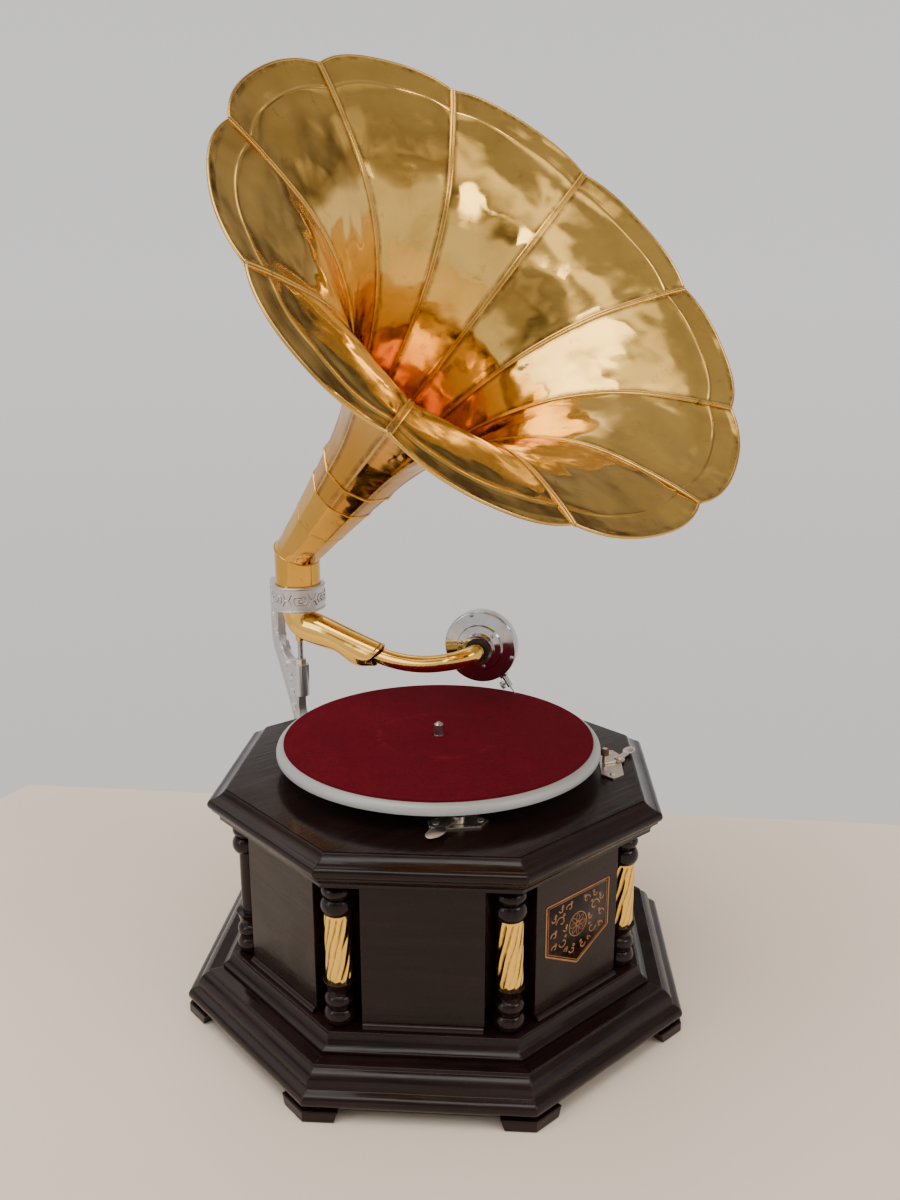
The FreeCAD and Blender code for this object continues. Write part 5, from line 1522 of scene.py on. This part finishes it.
    def petal(self, bench: Bench, k: int) -> None:
        """One crowned gore of thin sheet, with a flanged and creased border.

        Args:
            bench: Where to add it.
            k: Its number, from the top of the mouth.
        """
        line, run = self.flare()
        across = np.sin(np.linspace(-math.pi / 2, math.pi / 2, self.columns))
        end = np.interp(self.rim_radius(across), line[:, 0], run)
        fold = end - self.crease_line(across)
        inner = np.linspace(0, 1, self.rows)[:, None] * (end - fold - 2.6)
        band = (end - fold) + np.linspace(-2.2, 2.2, 13)[:, None]
        outer = (end - fold + 2.6) + np.linspace(0, 1, self.rows // 4)[:, None] * (fold - 2.6)
        t = np.concatenate([inner, band, outer])
        v = np.ones((len(t), 1)) * across
        back = end[None, :] - t
        inside, outside = (stood(self.skin(v, t, back, k, lift), self.stand) for lift in (0.0, self.sheet))
        half = math.pi / self.petals
        beside = (1 - np.abs(v)) * half * np.interp(t, run, line[:, 0])
        # The distance back from the rim also sets the painted shade down the throat.
        wrap = np.stack([beside, back], axis=2) * MM
        bench.grid(inside, flip=True, wrap=wrap)
        bench.grid(outside, wrap=wrap)
        for row in (0, -1):
            bench.grid(np.stack([inside[row], outside[row]]), flip=row == 0)
        for column in (0, -1):
            bench.grid(np.stack([inside[:, column], outside[:, column]]), flip=column == -1)

    def hem(self, bench: Bench, k: int) -> None:
        """The rolled wire edge along one petal's rim.

        Args:
            bench: Where to add it.
            k: The petal's number.
        """
        line, run = self.flare()
        v = np.sin(np.linspace(-math.pi / 2, math.pi / 2, 46))
        t = np.interp(self.rim_radius(v), line[:, 0], run)
        path = self.skin(v, t, np.zeros_like(t), k, self.sheet / 2)
        bench.grid(stood(tube(path, 1.05 * MM, 10), self.stand), around=True, ends=True)

    def seam_strip(self, bench: Bench, k: int) -> None:
        """The folded lap between two petals, proud on both faces.

        Args:
            bench: Where to add it.
            k: The number of the petal before it.
        """
        line, run = self.flare()
        end = float(np.interp(self.notch + 0.6, line[:, 0], run))
        t = np.linspace(0, end, 120)
        radius = np.interp(t, run, line[:, 0])
        along = np.interp(t, run, line[:, 1])
        slope = unit(np.gradient(np.column_stack([radius, along]), axis=0))
        grow = np.clip(0.42 + radius / 210.0, 0.5, 1.0)
        middle = (k + 0.5) * math.tau / self.petals
        out = np.array([math.cos(middle), math.sin(middle), 0.0])
        side = np.array([-math.sin(middle), math.cos(middle), 0.0])
        rows = []
        for i in range(len(t)):
            normal = out * slope[i, 1] + np.array([0, 0, -slope[i, 0]])
            base = out * radius[i] + np.array([0, 0, along[i]])
            rows.append([base + side * b * grow[i] + normal * n * grow[i] for b, n in self.lap])
        bench.grid(stood(np.array(rows) * MM, self.stand), around=True, ends=True)

    def ring_seam(self, bench: Bench, s: float, wide: float, proud: float) -> None:
        """A soldered ring round the neck.

        Args:
            bench: Where to add it.
            s: Its place along the axis.
            wide: Its width.
            proud: How far it stands out.
        """
        turn = round_angles(100)
        radius = self.neck_radius(np.full(100, s), turn) + self.sheet - 0.15
        path = np.column_stack([radius * np.cos(turn), radius * np.sin(turn), np.full(100, s)]) * MM
        bench.grid(stood(tube(path, wide / 2 * MM, 8, closed=True, flatten=proud / (wide / 2)), self.stand),
                   around=True)

    def neck_radius(self, s: np.ndarray, angle: np.ndarray) -> np.ndarray:
        """The neck's inner radius with its long facets.

        Args:
            s: Way along the axis.
            angle: Angle round it.

        Returns:
            The radius.
        """
        line, _ = self.flare()
        cones = np.interp(s, [10.0, self.joint, 100.0], [self.tube_r - 1, self.joint_r - 1, 27.9])
        plain = np.where(s < 100.0, cones, np.interp(s, line[:, 1], line[:, 0]))
        half = math.pi / self.petals
        off = (angle + half) % (2 * half) - half
        facet = np.cos(half) / np.cos(off)
        share = np.clip((s + 4) / 40.0, 0, 0.8)
        return plain * (1 + (facet - 1) * share + share * (1 - np.cos(half)) * 0.5)

    def neck(self) -> None:
        """The neck from its mitre to the petals, as faceted sheet with a lapped joint."""
        bench = Bench()
        turn = round_angles(120)
        for low, high, lap in ((None, self.joint, 0.0), (self.joint - 2.0, 101.0, 0.35)):
            start = self.mitre(self.tube_r, turn) if low is None else np.full(120, low)
            w = np.linspace(0, 1, 24)[:, None]
            s = start[None, :] + (high - start[None, :]) * w
            radius = self.neck_radius(s, turn[None, :]) + lap
            wave = np.array([[noise.noise(Vector((math.cos(a) * 2, math.sin(a) * 2, z / 22))) for a, z in
                              zip(turn, row)] for row in s]) * 0.22 * np.clip(w * 6, 0, 1)
            outer = radius + self.sheet + wave
            shells = [np.stack([r * np.cos(turn), r * np.sin(turn), s], axis=2) * MM for r in (radius, outer)]
            inner, outside = (stood(points, self.stand) for points in shells)
            bench.grid(inner, around=True, flip=True)
            bench.grid(outside, around=True)
            bench.grid(np.stack([inner[0], outside[0]]), around=True, flip=True)
            bench.grid(np.stack([inner[-1], outside[-1]]), around=True)
        bench.piece("horn_neck_sheet", NECK_BRASS, "horn", "brass", ["horn_neck"], crease=28)

    def mitre_seam(self, bench: Bench) -> None:
        """The soldered line where the neck meets the upright socket.

        Args:
            bench: Where to add it.
        """
        turn = round_angles(90)
        r = self.tube_r + 0.05
        path = np.column_stack([r * np.cos(turn), r * np.sin(turn), self.mitre(r, turn)]) * MM
        bench.grid(stood(tube(path, 0.55 * MM, 8, closed=True), self.stand), around=True)

    def build(self) -> None:
        """Builds every piece of the horn and dresses its socket."""
        petals, seams, hems = Bench(), Bench(), Bench()
        for k in range(self.petals):
            self.petal(petals, k)
            self.seam_strip(seams, k)
            self.hem(hems, k)
        for s, wide, proud in ((self.joint, 1.6, 0.6), *self.rings):
            self.ring_seam(seams, s, wide, proud)
        self.mitre_seam(seams)
        petals.piece("horn_petal_sheets", HORN_BRASS, "horn", "brass", ["horn_petals"], crease=40)
        seams.piece("horn_folded_seams", SEAM_BRASS, "horn", "solder_brass", ["horn_seams"], crease=48)
        hems.piece("horn_rim_hem", SEAM_BRASS, "horn", "solder_brass", crease=50)
        self.neck()
        dress(NECK_BRASS, "horn_socket")


# ------------------------------------------------------------------ turntable
@dataclass
class Turntable:
    """The platter with its felt, spindle and controls."""

    radius: float = 121.3
    bore: float = 4.2
    high: float = 203.2
    thick: float = 1.38
    rings: int = 90
    segments: int = 220

    def felt(self) -> None:
        """The felt as a soft sheet with a rounded cut edge and an uneven nap."""
        rings = np.linspace(self.bore + 0.5, self.radius - 0.8, self.rings)
        edge = [(self.radius - 0.25, -0.25), (self.radius, -0.7), (self.radius, -self.thick)]
        profile = [(self.bore, -self.thick), (self.bore, -0.4)] + [(r, 0.0) for r in rings] + edge
        line = np.array(profile) * MM
        turn = round_angles(self.segments)
        rows = []
        for r, z in line:
            row = []
            for a in turn:
                x, y = r * math.cos(a), r * math.sin(a)
                dip = 0.0
                if z > -0.0002:
                    dip = 0.11 * (noise.noise(Vector((x * 90, y * 90, 1.0))) - 1)
                    dip += 0.05 * (noise.noise(Vector((x * 420, y * 420, 3.0))) - 1)
                row.append((x, y, self.high * MM + z + dip * MM * 0.6))
            rows.append(row)
        rows = np.array(rows)
        bench = Bench()
        bench.grid(np.concatenate([rows, rows[:1]]), around=True, flip=True)
        made = bench.piece("turntable_felt", FELT, "turntable", "felt", ["felt"], crease=60)

    def build(self) -> None:
        """Builds the felt and dresses the platter, spindle and controls."""
        self.felt()
        dress(PLATTER_PAINT, "platter")
        dress(STEEL, "spindle")
        dress(NICKEL, "control_plates", "speed_lever", "brake_lever")
        dress(LEATHER, "brake_shoe")


@dataclass
class ToneArm:
    """The tone arm, gooseneck and soundbox."""

    def build(self) -> None:
        """Dresses the arm's tubes and the soundbox's pieces."""
        dress(ARM_BRASS, "tonearm", "gooseneck")
        dress(RUBBER, "collar_bush", "soundbox_rubbers")
        dress(CHROME, "soundbox_back", "soundbox_rim", "stylus_bar")
        dress(STEEL, "soundbox_screws", "thumb_screw", "needle")
        dress(MICA, "diaphragm")


@dataclass
class Motor:
    """The spring motor inside the case, and the winding crank."""

    def build(self) -> None:
        """Dresses every piece of the motor and the crank."""
        dress(STEEL, "motor_top_plate", "motor_bottom_plate", "motor_pillars", "motor_bolts", "crank_bearing",
              "drive_arbor", "barrel_arbor", "governor_shaft", "click_pawl", "ratchet_wheel", "spring_barrel")
        dress(GEAR_BRASS, "spindle_wheel", "drive_wheel", "barrel_wheel", "governor_weights",
              "governor_collars")
        dress(BRONZE, "plate_bushes", "bevel_wheel", "bevel_pinion")
        dress(BLUED, "mainspring")
        dress(NICKEL, "crank_arm", "escutcheon", "grip_pin")
        dress(GRIP_WOOD, "crank_grip")


# ------------------------------------------------------------------ stage
@dataclass
class Stage:
    """Table, soft room light and camera."""

    eye: Sequence[float] = (-0.4948, -0.5750, 0.5029)
    ahead: Sequence[float] = (0.6413, 0.7277, -0.2435)
    lens: float = 30.70
    walls: Sequence[tuple[float, Colour]] = (
        (0.0, (0.70, 0.61, 0.53)), (0.44, (0.87, 0.835, 0.81)), (0.52, (0.93, 0.905, 0.895)),
        (0.655, (0.88, 0.855, 0.845)), (0.70, (0.36, 0.32, 0.28)), (0.745, (0.24, 0.20, 0.16)),
        (0.81, (1.12, 1.04, 0.95)), (1.0, (1.75, 1.68, 1.58)))
    edge_left: Point2 = (-0.129, 0.585)
    edge_right: Point2 = (0.536, -0.138)

    def camera(self) -> None:
        """Stands the camera where the object is usually seen from."""
        data = bpy.data.cameras.new("view")
        data.lens = self.lens
        data.sensor_width = 36.0
        camera = linked("view", data)
        ahead = Vector(self.ahead).normalized()
        right = ahead.cross(Vector((0, 0, 1))).normalized()
        up = right.cross(ahead)
        turn = Matrix((right, up, -ahead)).transposed().to_4x4()
        camera.matrix_world = Matrix.Translation(self.eye) @ turn
        bpy.context.scene.camera = camera

    def table(self) -> None:
        """A pale table whose far edge lies behind the object."""
        a, b = Vector((*self.edge_left, 0)), Vector((*self.edge_right, 0))
        along = (b - a).normalized()
        near = Vector((-along.y, along.x, 0)) * -1
        corners = [a, a + along * 3.0, a + along * 3.0 + near * 3.2, a + near * 3.2 - along * 1.2]
        low = [c - Vector((0, 0, 0.03)) for c in corners]
        mesh = bpy.data.meshes.new("table")
        faces = [(0, 3, 2, 1), (4, 5, 6, 7), (0, 1, 5, 4), (1, 2, 6, 5), (2, 3, 7, 6), (3, 0, 4, 7)]
        mesh.from_pydata(corners + low, [], faces)
        mesh.materials.append(TABLE_TOP.material())
        table = linked("table", mesh)

    def room(self) -> None:
        """A pale room: plain at eye level, with soft lamps and darker reaches overhead."""
        world = bpy.data.worlds.new("room")
        bpy.context.scene.world = world
        tree = NodeTree(world)
        way = tree.node("ShaderNodeTexCoord").outputs["Generated"]
        height = tree.axes(way)[2]
        ramp = tree.node("ShaderNodeValToRGB")
        tree.join(tree.band(height, -1.0, 1.0, eased=False), ramp.inputs[0])
        while len(ramp.color_ramp.elements) < len(self.walls):
            ramp.color_ramp.elements.new(0.5)
        for element, (where, colour) in zip(ramp.color_ramp.elements, self.walls):
            element.position = where
            element.color = (*colour, 1.0)
        level = tree.node("ShaderNodeMix")
        tree.join(tree.band(height, 0.34, 0.5, eased=False), level.inputs["Factor"])
        level.inputs[2].default_value = 1.0
        tree.join(tree.band(tree.noise(way, 1.9, 1.5, 0.5), 0.42, 0.58, 0.3, 1.3), level.inputs[3])
        lit = tree.node("ShaderNodeBackground")
        tree.join(ramp.outputs[0], lit.inputs["Color"])
        tree.join(level.outputs[0], lit.inputs["Strength"])
        tree.join(lit.outputs[0], tree.node("ShaderNodeOutputWorld").inputs["Surface"])

    def lamp(self, name: str, at: Sequence[float], aim: Sequence[float], size: Point2, power: float,
             colour: Colour = (1.0, 0.97, 0.93)) -> None:
        """Hangs one soft lamp.

        Args:
            name: Its name.
            at: Its place.
            aim: The point that it faces.
            size: Its width and height.
            power: Its power in watts.
            colour: Its colour.
        """
        data = bpy.data.lights.new(name, "AREA")
        data.shape = "RECTANGLE"
        data.size, data.size_y = size
        data.energy = power
        data.color = colour
        light = linked(name, data)
        way = Vector(aim) - Vector(at)
        light.rotation_euler = way.to_track_quat("-Z", "Y").to_euler()
        light.location = at

    def build(self) -> None:
        """Sets the whole stage."""
        self.camera()
        self.table()
        self.room()
        self.lamp("overhead", (-0.5, -0.2, 2.3), (0, 0, 0.2), (1.9, 1.1), 20)
        self.lamp("window", (-2.4, 0.5, 1.5), (0, 0, 0.4), (0.8, 1.5), 12, (0.95, 0.97, 1.0))
        self.lamp("front", (0.9, -2.3, 1.7), (0, 0, 0.3), (1.2, 0.5), 11)


def main() -> None:
    """Builds the pieces in order."""
    logging.basicConfig(level=logging.INFO, format="%(message)s")
    for part in (Case(), Bracket(), Horn(), Turntable(), ToneArm(), Motor(), Stage()):
        part.build()
        LOG.info("%s done", type(part).__name__)


if __name__ == "__main__":
    main()
